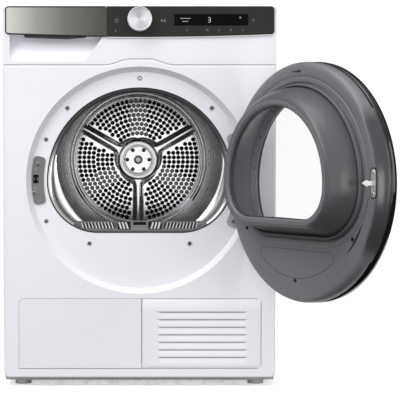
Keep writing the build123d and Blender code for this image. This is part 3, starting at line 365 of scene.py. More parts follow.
def finish(name, colour, roughness, metallic=0.0, spread=0.03, scale=60, rough_spread=0.05, bump=0.05,
           bump_scale=900, stretch=(1, 1, 1), coat=0.0):
    """A finish with the small changes of colour, gloss and relief that a real surface of its kind has."""
    material = shader(name, colour, roughness, metallic)
    socket(material, "Coat Weight").default_value = coat
    cloud = place_noise(material, scale, stretch)
    tint = ramp(cloud, [(0.3, shade(colour, 1 - spread)), (0.7, shade(colour, 1 + spread))])
    fine = place_noise(material, bump_scale, stretch)
    low = max(roughness - rough_spread, 0.02)
    gloss = ramp(fine, [(0.25, grey(low)), (0.75, grey(roughness + rough_spread))])
    paint(material, tint, gloss)
    emboss(material, fine, bump, 0.4 * mm)
    return material


def blend_painted_shade(material, colour, roughness):
    """Blends painted shade in where the mesh's grip value says so: a darker colour, together with the roughness
    that is given.
    """
    where = node(material.node_tree, "Attribute", attribute_name="grip").outputs["Fac"]
    for name, value in (("Base Color", colour), ("Roughness", grey(roughness))):
        plain = socket(material, name).links[0].from_socket
        blend = step(plain, "MixRGB", {"Color2": (*value, 1)}, into="Color1", blend_type="MIX")
        link(where, blend.node.inputs["Fac"])
        link(blend, socket(material, name))


def glass(name, tint, alpha):
    """Clear toughened glass with a faint film of dust on it."""
    material = finish(name, tint, 0.04, spread=0.02, scale=9, rough_spread=0.03, bump=0.01, bump_scale=40)
    socket(material, "Alpha").default_value = alpha
    socket(material, "IOR").default_value = 1.5
    return material


def drawer_gradient(name):
    """The drawer front: a printed fade from pale at its left end to dark at its right, finely brushed."""
    low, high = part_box("tank_front")
    pale = (0.70, 0.71, 0.66)
    middle = (0.36, 0.365, 0.335)
    deep = (0.18, 0.182, 0.163)
    dark = (0.082, 0.083, 0.072)
    material = shader(name, (0.3, 0.3, 0.29), 0.34, 0.25)
    across = step(object_axes(material)["X"], "MapRange", {"From Min": low.x, "From Max": high.x})
    fade = ramp(across, [(0.0, pale), (0.3, middle), (0.6, deep), (1.0, dark)])
    lines = place_noise(material, 260.0, (0.04, 1, 6))
    streak = ramp(lines, [(0.3, grey(0.86)), (0.7, grey(1.0))])
    both = step(fade, "MixRGB", {"Fac": 1.0}, into="Color1", blend_type="MULTIPLY")
    link(streak, both.node.inputs["Color2"])
    paint(material, both, ramp(lines, [(0.3, grey(0.28)), (0.7, grey(0.42))]))
    return material


def turned_steel(name, colour, roughness, centre_z, ring_scale):
    """Pressed stainless steel, polished in fine rings about the drum axis."""
    material = shader(name, colour, roughness, 1.0)
    flat = step(object_place(material), "Mapping", {"Location": (0, 0, -centre_z), "Scale": (1, 0, 1)})
    reach = step(flat, "VectorMath", out="Value", operation="LENGTH")
    fine = {"Scale": ring_scale, "Detail": 4.0}
    rings = step(reach, "TexNoise", fine, into="W", out="Fac", noise_dimensions="1D")
    tint = ramp(rings, [(0.3, shade(colour, 0.9)), (0.7, shade(colour, 1.06))])
    gloss = ramp(rings, [(0.3, grey(roughness - 0.05)), (0.7, grey(roughness + 0.07))])
    paint(material, tint, gloss)
    emboss(material, rings, 0.08, 0.2 * mm)
    return material


def dial_silver(name):
    """The dial's face, brushed round its centre, with sectors of painted sheen in its colour in place of the light
    that it catches.
    """
    painted_sheen_low = (0.52, 0.52, 0.54)
    painted_sheen_middle = (0.66, 0.66, 0.68)
    painted_sheen_bright = (0.8, 0.8, 0.82)
    material = shader(name, (0.62, 0.62, 0.63), 0.4, 0.45)
    axes = object_axes(material)
    turn = step(axes["Z"], "Math", operation="ARCTAN2")
    link(axes["X"], turn.node.inputs[1])
    twice = step(turn, "Math", {1: 2.0, 2: 0.9}, operation="MULTIPLY_ADD")
    wave = step(twice, "Math", operation="SINE")
    band = step(wave, "MapRange", {"From Min": -1.0})
    # Painted sheen: the ramp makes brighter and dimmer sectors round the centre in place of the brushed metal's
    # reflection.
    painted_sheen = ramp(band, [(0.1, painted_sheen_low), (0.6, painted_sheen_middle), (0.95, painted_sheen_bright)])
    paint(material, painted_sheen, ramp(place_noise(material, 500.0), [(0.3, grey(0.36)), (0.7, grey(0.46))]))
    return material


white = (0.84, 0.84, 0.88)
dark_warm = (0.026, 0.026, 0.023)
liner_colour = (0.165, 0.163, 0.174)
steel = (0.70, 0.70, 0.71)
brushed = (0.1, 1, 4)
ribbed = (1, 20, 1)

looks = {}


def look(name, colour, roughness, metallic=0.0, **detail):
    """Keeps a finish under its name; a single number for its colour is a grey."""
    tint = colour if isinstance(colour, tuple) else grey(colour)
    looks[name] = finish(name, tint, roughness, metallic, **detail)


# Finishes of the record's material slots
looks["drawer_trim"] = drawer_gradient("drawer_trim")
looks["dial_silver"] = dial_silver("dial_silver")
looks["clear_glass"] = glass("clear_glass", (0.5, 0.52, 0.55), 0.03)
looks["stainless"] = turned_steel("stainless", steel, 0.16, drum_z, 500.0)
look("white_enamel", white, 0.32, spread=0.012, scale=3, bump=0.03, bump_scale=420, coat=0.3)
look("white_moulding", white, 0.4, spread=0.015, scale=4, bump=0.05, bump_scale=1400)
look("worktop_white", (0.74, 0.74, 0.735), 0.36, spread=0.015, scale=5, bump=0.1, bump_scale=1100)
look("graphite_trim", dark_warm, 0.3, spread=0.06, scale=5, bump=0.03, bump_scale=600, stretch=brushed)
look("display_black", 0.004, 0.08, spread=0.2, scale=8, rough_spread=0.03, bump=0.0)
look("liner_grey", liner_colour, 0.4, spread=0.04, scale=7, bump=0.07, bump_scale=1500)
look("ring_black", 0.006, 0.12, spread=0.2, scale=6, rough_spread=0.04, bump=0.02)
look("seal_rubber", (0.10, 0.098, 0.104), 0.55, spread=0.06, scale=20, bump=0.12)
look("zinc_steel", 0.58, 0.3, 1.0, spread=0.1, scale=30, bump=0.06, bump_scale=500)
look("latch_grey", 0.17, 0.42, spread=0.05, scale=25, bump=0.08)
look("bulkhead_grey", 0.10, 0.45, spread=0.06, scale=12, bump=0.1)
look("filter_grey", 0.17, 0.45, spread=0.05, scale=15, bump=0.08)
look("mesh_cloth", 0.6, 0.7, spread=0.2, scale=700, bump=0.4)
look("felt", (0.11, 0.10, 0.092), 0.95, spread=0.25, scale=160, bump=0.6)
look("tray_plastic", 0.42, 0.55, spread=0.08, scale=9, bump=0.15, bump_scale=700)
look("galvanised", (0.46, 0.47, 0.48), 0.4, 0.9, spread=0.16, scale=34, bump=0.06)
look("dark_machine", 0.012, 0.42, spread=0.15, scale=18, bump=0.1, coat=0.2)
look("motor_steel", 0.42, 0.38, 1.0, spread=0.12, scale=25, bump=0.08)
look("fin_aluminium", (0.62, 0.63, 0.64), 0.34, 1.0, spread=0.08)
look("copper", (0.55, 0.25, 0.13), 0.32, 1.0, spread=0.18, scale=45)
look("tank_plastic", (0.62, 0.67, 0.72), 0.35, spread=0.04, scale=8)
look("black_plastic", 0.010, 0.5, spread=0.15, scale=15, bump=0.12)
look("belt_rubber", 0.010, 0.6, spread=0.2, scale=40, bump=0.2, stretch=ribbed)
look("foot_rubber", 0.55, 0.6, spread=0.1, scale=40, bump=0.15)

# Finishes of the finer pieces
# Dark metal: the colour of the dark screws and pins, and painted shade where it fills screw sockets, cross slots,
# the plug's groove and the filter handle's dip.
look("socket_dark", 0.03, 0.35, 0.8, spread=0.2, bump=0.1)
# Near black: a dark joint on the cover's outline, painted shade on the crease and on the top slot.
look("liner_line", (0.012, 0.012, 0.013), 0.5, spread=0.2, scale=40, bump=0.1)
# Darker copies of the liner's finish: painted shade on the aperture's inner wall and on the dome's sides.
look("liner_wall_painted_shade", (0.15, 0.147, 0.16), 0.34, spread=0.06, scale=9)
look("liner_dome_painted_shade", (0.085, 0.083, 0.09), 0.36, spread=0.05, scale=7, bump=0.06, bump_scale=1500)
look("print_white", 0.62, 0.5, spread=0.05, bump=0.02)
look("print_grey", 0.22, 0.5, spread=0.06, bump=0.02)
look("slot_shadow", (0.05, 0.048, 0.06), 0.6, spread=0.1, scale=30, bump=0.1)
# Grey: painted shade on the louvre slots' floors; the latch's moulded marks use it too.
look("slot_grey", 0.4, 0.6, spread=0.06, scale=30)
look("rim_steel", 0.66, 0.18, 1.0, spread=0.08, scale=80, bump=0.03)
look("hub_brushed", 0.74, 0.26, 1.0, spread=0.06, scale=25, bump=0.1, bump_scale=700)
look("collar_steel", 0.5, 0.22, 1.0, spread=0.06, scale=25, bump=0.03)
look("mouth_steel", 0.62, 0.15, 1.0, spread=0.04, scale=12, rough_spread=0.03, bump=0.02)
look("shell_steel", steel, 0.2, 1.0, spread=0.05, scale=7, rough_spread=0.04, bump=0.0)
look("lip_steel", 0.82, 0.2, 0.9, spread=0.03, scale=12, bump=0.02)
# Near black, painted shade: the rims round the drum's holes.
look("hole_rim_painted_shade", 0.02, 0.4, 0.9, spread=0.1)
# Near black, painted shade: the rear duct cover, seen through the drum's holes.
look("duct_painted_shade", 0.018, 0.6, spread=0.1, scale=12, bump=0.1)
look("bar_white", 0.75, 0.4, spread=0.05, scale=40)
look("handle_grey", 0.26, 0.42, spread=0.05, scale=25, bump=0.08)
look("plated", 0.62, 0.34, 0.5, spread=0.08)
look("screw_grey", 0.26, 0.4, 0.4, spread=0.08)
# Painted shade in the sunk screws' cups.
look("dip_painted_shade", 0.07, 0.45, spread=0.1)
# The cups a little darker than the seat: painted shade that outlines them.
look("cup_grey", 0.62, 0.35, bump=0.03)
look("cup_white", 0.85, 0.35, bump=0.03)
look("seam_grey", 0.55, 0.6, spread=0.04, scale=20)
look("rail_grey", 0.9, 0.5, spread=0.14, scale=70, bump=0.1)
look("lug_grey", 0.4, 0.4, 0.3, spread=0.06, scale=40)
look("lifter_grey", 0.4, 0.4, spread=0.05, scale=12, bump=0.08)

# Painted shade: the grip mask blends a darker, glossier finish into the liner's finger scoop.
blend_painted_shade(looks["liner_grey"], (0.05, 0.049, 0.054), 0.24)
# Painted shade: the grip mask blends the top of the tunnel's mouth darker and duller.
blend_painted_shade(looks["mouth_steel"], grey(0.1), 0.4)
for quiet, gloss in (("graphite_trim", 0.16), ("display_black", 0.04), ("drawer_trim", 0.16)):
    socket(looks[quiet], "Specular IOR Level").default_value = gloss

node_looks = {subpart["node"]: subpart["material_slot"] for subpart in frame["record"]["subparts"]}
node_looks["hub_screws"] = "socket_dark"
node_looks["door_screws"] = "socket_dark"
node_looks["drum_lifters"] = "lifter_grey"
node_looks["drum_shell"] = "shell_steel"
# The duct cover is near black: painted shade, so the drum's holes look dark.
node_looks["rear_duct_cover"] = "duct_painted_shade"
node_looks["hinge_plate"] = "lug_grey"
for name, look_name in node_looks.items():
    nodes[name].data.materials.clear()
    nodes[name].data.materials.append(looks[look_name])


# Door liner: dome, aperture lip, step lines, rolled rim, finger scoop and hinge pocket

scoop_deg = 36.0
pocket_half = 50 * mm
pocket_x = hinge.x - 28 * mm
bezel_w = 15 * mm
bezel_depth = -door_t + 5 * mm
dome_wall = 3 * mm
dome_steps = 12
# Radius, flat and corner of the aperture's lip, of the dome's top and of its foot
lip_dee = (155 * mm, 71 * mm, 66 * mm)
dome_top_dee = (163 * mm, 78 * mm, 70 * mm)
dome_foot_dee = (194 * mm, 105.5 * mm, 102 * mm)
dome_flat_limit = (105 * mm, 86 * mm)
# Sections in mm: wall depths, (out, down) of the lip, (inset, rise) of the steps, (radius, depth) of the rims
wall_depths = (-16, -8, -3, 0, 6, 15, 26, 38, 50, 58)
lip_section = [(0, 4.5), (0.7, 2), (2.4, 0.4), (4.5, 0)]
step_section = [(1.6, 0), (1.2, -1.6), (0.4, -1.6), (0.0, 1.0), (-0.8, 1.2), (-8.4, 1.2), (-9.0, 1.1),
                (-9.4, -0.2), (-10.2, -0.2)]
plain_rim = [(216, 0.3), (222, 0.2), (230, 0.0), (236, -0.8), (240.5, -2.8), (243.8, -6.5), (245.4, -11),
             (245.8, -17), (245.2, -24), (244.5, -30)]
scoop_rim = [(214, 0.2), (220, -0.2), (226, -0.5), (230, -0.7), (233, -1.4), (235, -4), (236.6, -10),
             (239, -18), (243, -26.5), (246, -30)]


def lip_outline(angle, inset=0.0):
    return dee_radius(angle, *lip_dee) - inset


def dome_outline(angle, depth):
    """The dome's outer face at a height above the liner's face."""
    share = depth / dome_depth
    swell = sqrt(max(1 - share**2, 0))
    r, flat, corner = [mix(top, foot, swell) for top, foot in zip(dome_top_dee, dome_foot_dee)]
    return dee_radius(angle, r, min(flat, mix(*dome_flat_limit, share)), corner)


def off_free_side(angle):
    """How many degrees an angle is from the door's free side."""
    return abs(degrees(angle) - 180)


def sink_to_pocket(angle, r, depth):
    """The hinge side has a pocket, open at the edge, for the hinge arm."""
    x, z = polar(r, angle)
    inside = 1 - smooth(pocket_half - 1 * mm, pocket_half + 2 * mm, abs(z))
    inside *= smooth(pocket_x, pocket_x + 3 * mm, x)
    return mix(depth, -door_t + 0.4 * mm, inside)


def liner_profile(angle):
    """(radius, depth) points round the liner's section, from the bezel behind the dome to the outer edge."""
    bezel_r = window_r + bezel_w
    points = [(window_r, -door_t), (window_r, bezel_depth), (bezel_r, bezel_depth + 1 * mm)]
    lip_r = lip_outline(angle)
    for depth in wall_depths:
        share = (depth * mm - bezel_depth) / (dome_depth - 5 * mm - bezel_depth)
        r = mix(bezel_r, lip_r, share)
        if depth >= 0:
            r = min(r, dome_outline(angle, depth * mm) - dome_wall)
        points.append((r, depth * mm))
    for out, down in lip_section:
        points.append((lip_r + out * mm, dome_depth - down * mm))
    for turn in spaced(0, pi / 2, dome_steps):
        depth = dome_depth * cos(turn)
        points.append((dome_outline(angle, depth), depth))
    for inset, rise in step_section:
        points.append((opening_outline(angle, inset * mm), rise * mm))
    scooped = 1 - smooth(scoop_deg - 10, scoop_deg + 5, off_free_side(angle))
    rim_start = opening_outline(angle, -11 * mm)
    for (r0, d0), (r1, d1) in zip(plain_rim, scoop_rim):
        points.append((max(mix(r0, r1, scooped) * mm, rim_start), mix(d0, d1, scooped) * mm))
    return [(r, sink_to_pocket(angle, r, depth)) for r, depth in points]


def door_liner():
    steps = 360
    sections = []
    for angle in angles(steps):
        section = []
        for r, depth in liner_profile(angle):
            x, z = polar(r, angle)
            section.append(on_door(x, depth, z))
        sections.append(section)
    count = len(sections[0])
    verts = [section[row] for row in range(count) for section in sections]
    piece = add_mesh("door_liner", verts, grid_faces(count, steps, wrap_rows=True))
    dress(piece, "door", "liner_grey", "liner_grey", "door_frame")
    # The inner wall and the dome take the painted shade copies of the liner's finish; the outer edge takes the
    # ring's black.
    for name in ("liner_wall_painted_shade", "liner_dome_painted_shade", "ring_black"):
        piece.data.materials.append(looks[name])
    wall_rows = range(2, 3 + len(wall_depths))
    dome_first = wall_rows.stop + len(lip_section) + 1
    dome_rows = range(dome_first, dome_first + dome_steps)

    def off(column):
        return off_free_side(2 * pi * column / steps)

    # The grip mask on the scoop's outer rows: painted shade, darker and glossier.
    def scoop_painted_shade(index):
        row, column = divmod(index, steps)
        return (1 - smooth(scoop_deg - 7, scoop_deg + 4, off(column))) * smooth(count - 7, count - 4.5, row)

    for index, face in enumerate(piece.data.polygons):
        row, column = divmod(index, steps)
        if row in wall_rows:
            face.material_index = 1
        elif row in dome_rows:
            face.material_index = 2
        elif row >= count - 2 and off(column) > scoop_deg + 1:
            face.material_index = 3
    add_painted_shade_mask(piece, scoop_painted_shade)


def lens_seal():
    """The black seal under the aperture's lip."""
    section = ((-0.6, 57), (1.6, 57), (2.0, 54), (1.6, 51), (-2.4, 51))
    piece = swept("door_lens_seal", lip_outline, section, rim_y, 200, swing=True)
    dress(piece, "door", "seal_rubber", "black_plastic")


def bezel_screws():
    """The small screws in the bezel round the outer window."""
    base = rim_y + bezel_depth + 0.4 * mm
    places = []
    for deg in (-30.5, 8.5, 30.5, 52, 149.5, 171.5, 210):
        x, z = polar(window_r + 8 * mm, radians(deg))
        places.append((x, base, door_z + z))
    head = ((0.3, 0.2), (0.3, 1.2), (1.6, 1.4), (2.4, 0.9), (2.6, 0.2))
    piece = turned("door_bezel_screws", places, head, 12, swing=True)
    dress(piece, "door", "zinc_steel", "socket_dark")


def liner_depth(angle, r):
    """How high the liner's outer face stands at a place, from its last step line to its edge."""
    face = liner_profile(angle)[-len(plain_rim) - 4:]
    for (r0, d0), (r1, d1) in zip(face, face[1:]):
        if r0 <= r <= r1 and r1 > r0:
            return mix(d0, d1, (r - r0) / (r1 - r0))
    return face[0][1]


def face_line(name, path, widths):
    """A fine moulded line on the liner's face, along (x, z) points."""
    lift = 0.25 * mm
    sink = 0.8 * mm
    verts = []
    for k, (x, z) in enumerate(path):
        ahead = Vector(path[min(k + 1, len(path) - 1)]) - Vector(path[max(k - 1, 0)])
        side = Vector((-ahead.y, ahead.x)).normalized() * widths[k] / 2
        for way, rise in ((-1, -sink), (-0.8, lift), (0.8, lift), (1, -sink)):
            px = x + side.x * way
            pz = z + side.y * way
            depth = liner_depth(atan2(pz, px) % (2 * pi), hypot(px, pz)) + rise
            verts.append(on_door(px, depth, pz))
    piece = add_mesh(name, verts, grid_faces(len(path), 4))
    dress(piece, "door", "liner_grey", "liner_line")


def crease_line():
    """The crease under the scoop, a dark line of painted shade, wider towards its lower end."""
    shares = spaced(0, 1, 40)
    crease = [polar(mix(217, 206, t) * mm, radians(mix(187, 221, t))) for t in shares]
    widths = [(0.7 + 5.5 * max(sin(pi * (t - 0.4) / 0.6), 0)) * mm for t in shares]
    face_line("door_crease_line", crease, widths)


def cover_line():
    """The outline of the moulded cover below the dome: an arc, two round corners and a straight top."""
    top = -137.5 * mm
    arc_r = 196 * mm
    arc_x = 6 * mm
    corner = 12 * mm
    end = acos((-top + corner) / (arc_r - corner))
    cover = []
    for angle in spaced(-end, end, 48):
        x, z = polar(arc_r, angle - pi / 2)
        cover.append((arc_x + x, z))
    turns = spaced(end - pi / 2, pi / 2, 12)
    for side, way in ((1, turns[1:]), (-1, turns[:0:-1])):
        hub_x = arc_x + side * sin(end) * (arc_r - corner)
        for angle in way:
            x, z = polar(corner, angle)
            cover.append((hub_x + side * x, top - corner + z))
    cover.append(cover[0])
    face_line("door_cover_line", cover, [1.0 * mm] * len(cover))


def top_slot():
    """The wedge-shaped slot at the top of the liner, a dark line of painted shade."""
    slot_z = 226.5 * mm
    slot = [(x * mm, slot_z) for x in spaced(22, -8, 8)]
    face_line("door_top_slot", slot, [width * mm for width in spaced(1, 6, 8)])


def door_seal():
    """The door's soft seal: a rounded lip round the foot of the dome."""
    section = ((10.2, 0), (10.2, 6), (9, 8.6), (7, 9.4), (5.2, 8.6), (4.6, 6), (4, 3.4), (3.4, 2), (3.4, 0))
    piece = swept("door_seal_lip", opening_outline, section, rim_y, 288, swing=True)
    dress(piece, "door", "seal_rubber", "seal_rubber", "door_gasket")


def door_ring():
    """The door's dark outer ring, fuller on its free side, round the outer window."""
    steps = 240
    # Radius, how much more of it on the free side, depth and how much more of that, in mm
    section = [(178, 0, -30.3, 0), (240, 0, -30.3, 0), (244, 2, -30.6, 0), (245, 1.8, -32.5, -1.5),
               (245, 1.8, -34, -5), (244, 2, -37, -7.5), (240, 2, -39.3, -8.4), (230, 0, -39.5, -7.6),
               (206, 0, -39.5, -2), (184, 0, -39.5, 0), (184, 0, -32.8, 0), (178, 0, -32.8, 0)]
    verts = []
    for r, wider, depth, deeper in section:
        for angle in angles(steps):
            full = 1 - smooth(75, 112, off_free_side(angle))
            x, z = polar((r + wider * full) * mm, angle)
            verts.append(on_door(x, (depth + deeper * full) * mm, z))
    piece = add_mesh("door_ring", verts, grid_faces(len(section), steps, wrap_rows=True))
    dress(piece, "door", "ring_black", "ring_black", "door_outer_ring")


def stadium(x, z, half_w, half_h):
    """A round-ended upright bar as (x, z) points."""
    points = []
    for side in (1, -1):
        for angle in spaced(0, pi, 12):
            across, up = polar(half_w, angle)
            points.append((x + side * across, z + side * (half_h - half_w + up)))
    return points


def door_slab(name, outline, low, high):
    """A flat plate on the door between two depths, from (x, z) points about the door's middle."""
    return prisms(name, [outline], lambda x, z: on_door(x, high, z), lambda x, z: on_door(x, low, z))


def door_hook():
    """The door's hook: a round-ended plate with two screws, on a black plate that paints the shade of the recess
    round it, and an arrow for the latch.
    """
    # A black plate under the hook plate: painted shade in the recess round it.
    bed = stadium(latch_x + 0.8 * mm, latch_up, 9.0 * mm, 30 * mm)
    dress(door_slab("door_hook_recess_shade", bed, -2.2 * mm, -0.3 * mm), "door", "black_plastic", "black_plastic")
    plate = stadium(latch_x, latch_up, 6.4 * mm, 27.5 * mm)
    dress(door_slab("door_hook_plate", plate, -2 * mm, 0 * mm), "door", "zinc_steel", "plated", "door_hook")
    places = [(latch_x, rim_y, latch_z + side * 20.5 * mm) for side in (-1, 1)]
    head = ((0.3, -0.4), (0.3, 0.8), (1.4, 1.5), (3.2, 1.2), (3.8, -0.4))
    dress(turned("door_hook_screws", places, head, 12, swing=True), "door", "zinc_steel", "plated")
    # Dark discs on the screw heads: painted shade in their sockets.
    recess = ((0.3, 0.5), (0.3, 1.6), (1.5, 1.7), (1.6, 0.5))
    dress(turned("door_hook_sockets", places, recess, 12, swing=True), "door", "zinc_steel", "socket_dark")
    upper = [(29, 0), (19, 5.6), (16, 6.2), (15, 4.2), (-1, 4.2)]
    arrow = [(depth, -z) for depth, z in upper[:0:-1]] + upper

    def side(off, depth, z):
        return on_door(latch_x + off * mm, depth * mm, latch_up + z * mm)

    piece = prisms("door_hook_arrow", [arrow], partial(side, -1.5), partial(side, 1.5))
    dress(piece, "door", "zinc_steel", "plated", "door_hook")


# Drum back: spokes with flared ends, hub surround, stamped hole rims and centre bolt

drum_axis = (0, field_y - 10 * mm, drum_z)
hub_in = 34
hub_out = 70
hub_rise = [(hub_in, 10.4), (40, 10.6), (46, 10.6), (47.5, 10.2), (49, 8.8), (51, 5.6), (54, 2.6), (60, 1.3),
            (66, 0.5), (hub_out, 0.0)]


def spider_rise(r, across):
    """Height of the pressed hub and spoke above the drilled field, in mm."""
    spoke_rise = 6.2
    spoke_slope = 13.3
    crown = 1.3 + 12 * exp(-(r - 50) / 7)
    ridge = spoke_rise * (1 - smooth(0, spoke_slope, abs(across) - crown))
    return max(level(hub_rise, r), ridge)


def drum_spider():
    """The hub's surround and its three spokes, one patch for each third of a turn; radii in mm."""
    third = 60
    spoke_half = 14.8
    spoke_flare = 5
    spoke_step = 3
    columns = 41
    reach = list(range(hub_in, hub_out)) + [hub_out + spoke_step * k for k in range(32)]
    verts = []
    faces = []
    for angle in spoke_deg:
        front = []
        back = []
        for r in reach:
            narrow = degrees(asin(min(spoke_half / r, 0.99))) + spoke_flare * smooth(150, 164, r)
            span = mix(third, narrow, smooth(55, 66, r))
            for u in spaced(-1, 1, columns - 1):
                off = radians(span * u)
                rise = spider_rise(r, r * sin(off))
                if abs(u) == 1 and r > 57:
                    rise = -0.4
                x, z = polar(r * mm, radians(angle) + off)
                front.append((x, field_face - rise * mm, drum_z + z))
                back.append((x, field_face + 0.9 * mm, drum_z + z))
        faces += shell_faces(len(reach), columns, start=len(verts))
        verts += front + back
    dress(add_mesh("drum_spokes", verts, faces), "drum", "stainless", "stainless")


def hub_face():
    """The brushed disc in the hub, its collar, the centre bolt and three small pins."""
    disc = [(0.5, -0.2), (0.5, 0.8), (1, 0.8), (32.6, 0.8), (33.2, 0.8), (33.8, 0.4), (34.4, 0.4), (35, 2.0),
            (35.6, 2.5), (36.2, 2.6), (37.4, 2.6), (38, 2.4), (38.4, 1.2), (38.4, -0.2)]
    dress(turned("drum_hub_disc", [drum_axis], disc, 72), "drum", "stainless", "hub_brushed")
    collar = [(38, -0.2), (38, 1.9), (38.6, 2.1), (46.6, 2.1), (47.6, 1.9), (48.4, 1.0), (48.8, -0.2)]
    dress(turned("drum_hub_collar", [drum_axis], collar, 72), "drum", "stainless", "collar_steel")
    bolt = [(2.5, 0), (2.5, 3.2), (4, 4.6), (6, 4.6), (7.5, 3.4), (8, 1.6), (11, 1.2), (11.6, 0)]
    dress(turned("drum_centre_bolt", [drum_axis], bolt, 40), "drum", "stainless", "rim_steel")
    pin = [(0.2, 0.3), (0.2, 0.8), (1.5, 0.7), (1.9, 0.3)]
    for k, deg in enumerate((90, 210, 330)):
        x, z = polar(30 * mm, radians(deg))
        place = (x, drum_axis[1], drum_z + z)
        dress(turned("drum_hub_pin_%d" % k, [place], pin, 16), "drum", "stainless", "socket_dark")


def ring_beads():
    """Pressed beads round the edge of the drilled field; radius and height in mm."""
    section = ((-3.2, -0.8), (-3, 0), (-2, 0.75), (-0.8, 1), (0.8, 1), (2, 0.75), (3, 0), (3.2, -0.8))
    for name, r, face, height in (("drum_field_bead", 159, field_face, 1.6),
                                  ("drum_step_bead", 170.5, field_face + 3.2 * mm, 3.0)):
        profile = [(r + across, share * height) for across, share in section]
        dress(turned(name, [(0, face, drum_z)], profile, 144), "drum", "stainless", "stainless")


def hole_places():
    """The same rings of holes that the drum's back wall is drilled with."""
    spoke_room = 20 * mm
    places = []
    ring_r = cap_r + 22 * mm
    while ring_r < field_r - 8 * mm:
        count = round(2 * pi * ring_r / hole_pitch)
        for k in range(count):
            deg = 360 * (k + 0.5) / count
            off = min(abs((deg - spoke + 180) % 360 - 180) for spoke in spoke_deg)
            if off > 89 or ring_r * sin(radians(off)) > spoke_room:
                x, z = polar(ring_r, radians(deg))
                places.append((x, field_face, drum_z + z))
        ring_r += hole_pitch
    return places


def hole_rims():
    edge = hole_r / mm
    profile = [(edge - 0.1, -0.6), (edge, 0.7), (edge + 0.4, 1.1), (edge + 1.3, 1.0), (edge + 1.9, -0.3)]
    # The rims are near black: painted shade, so that the holes look dark and large.
    dress(turned("drum_hole_rims", hole_places(), profile, 14), "drum", "stainless", "hole_rim_painted_shade")


def drum_lip():
    """The rolled front edge of the drum, polished."""
    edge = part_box("drum_shell")[0].y + 4.5 * mm
    section = [(187, -2.0), (186.6, -0.8), (188, 0.6), (191, 1.0), (198, 0.7), (206, -0.1), (215, -0.7),
               (226, -0.9), (226, -2.3), (192, -2.3)]
    dress(turned("drum_front_lip", [(0, edge, drum_z)], section, 160), "drum", "stainless", "lip_steel")


# Front: dial, printed marks, louvres, opening, filter, screws, latch, grip and edges


def dial():
    low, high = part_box("dial_knob")
    edge = (high.x - low.x) / 2 / mm
    back = (low.y - fascia_y) / mm
    profile = [(0.4, -1.2), (0.6, -1.1), (edge - 4, -1.1), (edge - 3.2, -0.8), (edge - 2.6, 0)]
    profile += [(edge - 1.4, 0), (edge - 0.3, -1.2), (edge, -3), (edge, back + 0.6), (edge - 2, back + 0.3)]
    profile.append((0.4, back + 0.3))
    piece = turned("dial_face", [(0, 0, 0)], profile, 96)
    piece.location = ((low.x + high.x) / 2, low.y, dial_z)
    dress(piece, "dial", "dial_silver", "dial_silver", "dial_knob")


def ring_outline(x, z, r, width, start=0, end=360):
    """Small quads that make a ring, or part of one, round a place."""
    turns = spaced(radians(start), radians(end), 28)
    quads = []
    for a, b in zip(turns, turns[1:]):
        corners = (polar(r, a), polar(r, b), polar(r - width, b), polar(r - width, a))
        quads.append([(x + across, z + up) for across, up in corners])
    return quads


def bar(x, z, width, height):
    return [(x - width / 2, z - height / 2), (x + width / 2, z - height / 2),
            (x + width / 2, z + height / 2), (x - width / 2, z + height / 2)]


def drawn(outlines):
    """Outlines in mm, turned into metres."""
    return [[(x * mm, z * mm) for x, z in outline] for outline in outlines]


def printed(name, outlines, slot, look_name):
    """Marks on the fascia or the display, from (x, z) outlines in mm."""
    dress(plates(name, drawn(outlines), fascia_y - 0.12 * mm, 0.25 * mm), "cabinet", slot, look_name)


def fascia_marks():
    """Touch marks on the fascia: a power ring, a start and pause sign and a hint dot."""
    mark_z = 806.5
    power_x = -50.5
    start_x = 46.5
    start_half = 3.3
    hint_x = 248.6
    marks = ring_outline(power_x, mark_z, 4.2, 0.8, 120, 420)
    marks.append(bar(power_x, mark_z + 3.1, 0.8, 4.2))
    marks.append([(start_x, mark_z - start_half), (start_x + 4.5, mark_z), (start_x, mark_z + start_half)])
    marks += [bar(start_x + off, mark_z, 1.1, 2 * start_half) for off in (6.7, 9.1)]
    marks += ring_outline(hint_x, mark_z + 1.7, 1.6, 0.7)
    marks.append(bar(hint_x, mark_z - 1.9, 0.9, 3.4))
    printed("fascia_marks", marks, "graphite_trim", "print_grey")


def option_marks():
    """Option marks under the display, bars and rings in turn, and a dot under the power ring."""
    row_z = 785.7
    line = 0.6
    marks = ring_outline(-53, 784, 1.6, line)
    for k, x in enumerate((104, 148, 173.8, 199.7, 225)):
        if k % 2:
            marks += ring_outline(x, row_z, 2.4, line)
            marks.append(bar(x, row_z, line, 2.6))
        else:
            marks += [bar(x, row_z + rise, 4.4 - abs(rise), line) for rise in (-1.6, 0, 1.6)]
    printed("fascia_option_marks", marks, "graphite_trim", "print_grey")


def display_digit():
    """A generic digit on the display, two plain bars to its left and a ring to its right."""
    display_z = 808
    digit_x = 152.5
    line = 1.2
    marks = [bar(digit_x, display_z + rise, 4.6, line) for rise in (-5.2, 0, 5.2)]
    marks.append(bar(digit_x + 2, display_z, line, 11.6))
    marks += [bar(100, display_z + rise, wide, 0.9) for rise, wide in ((3.2, 22), (-3.4, 13))]
    marks += ring_outline(220, display_z + 5, 1.6, 0.7)
    printed("display_digit", marks, "display_black", "print_white")


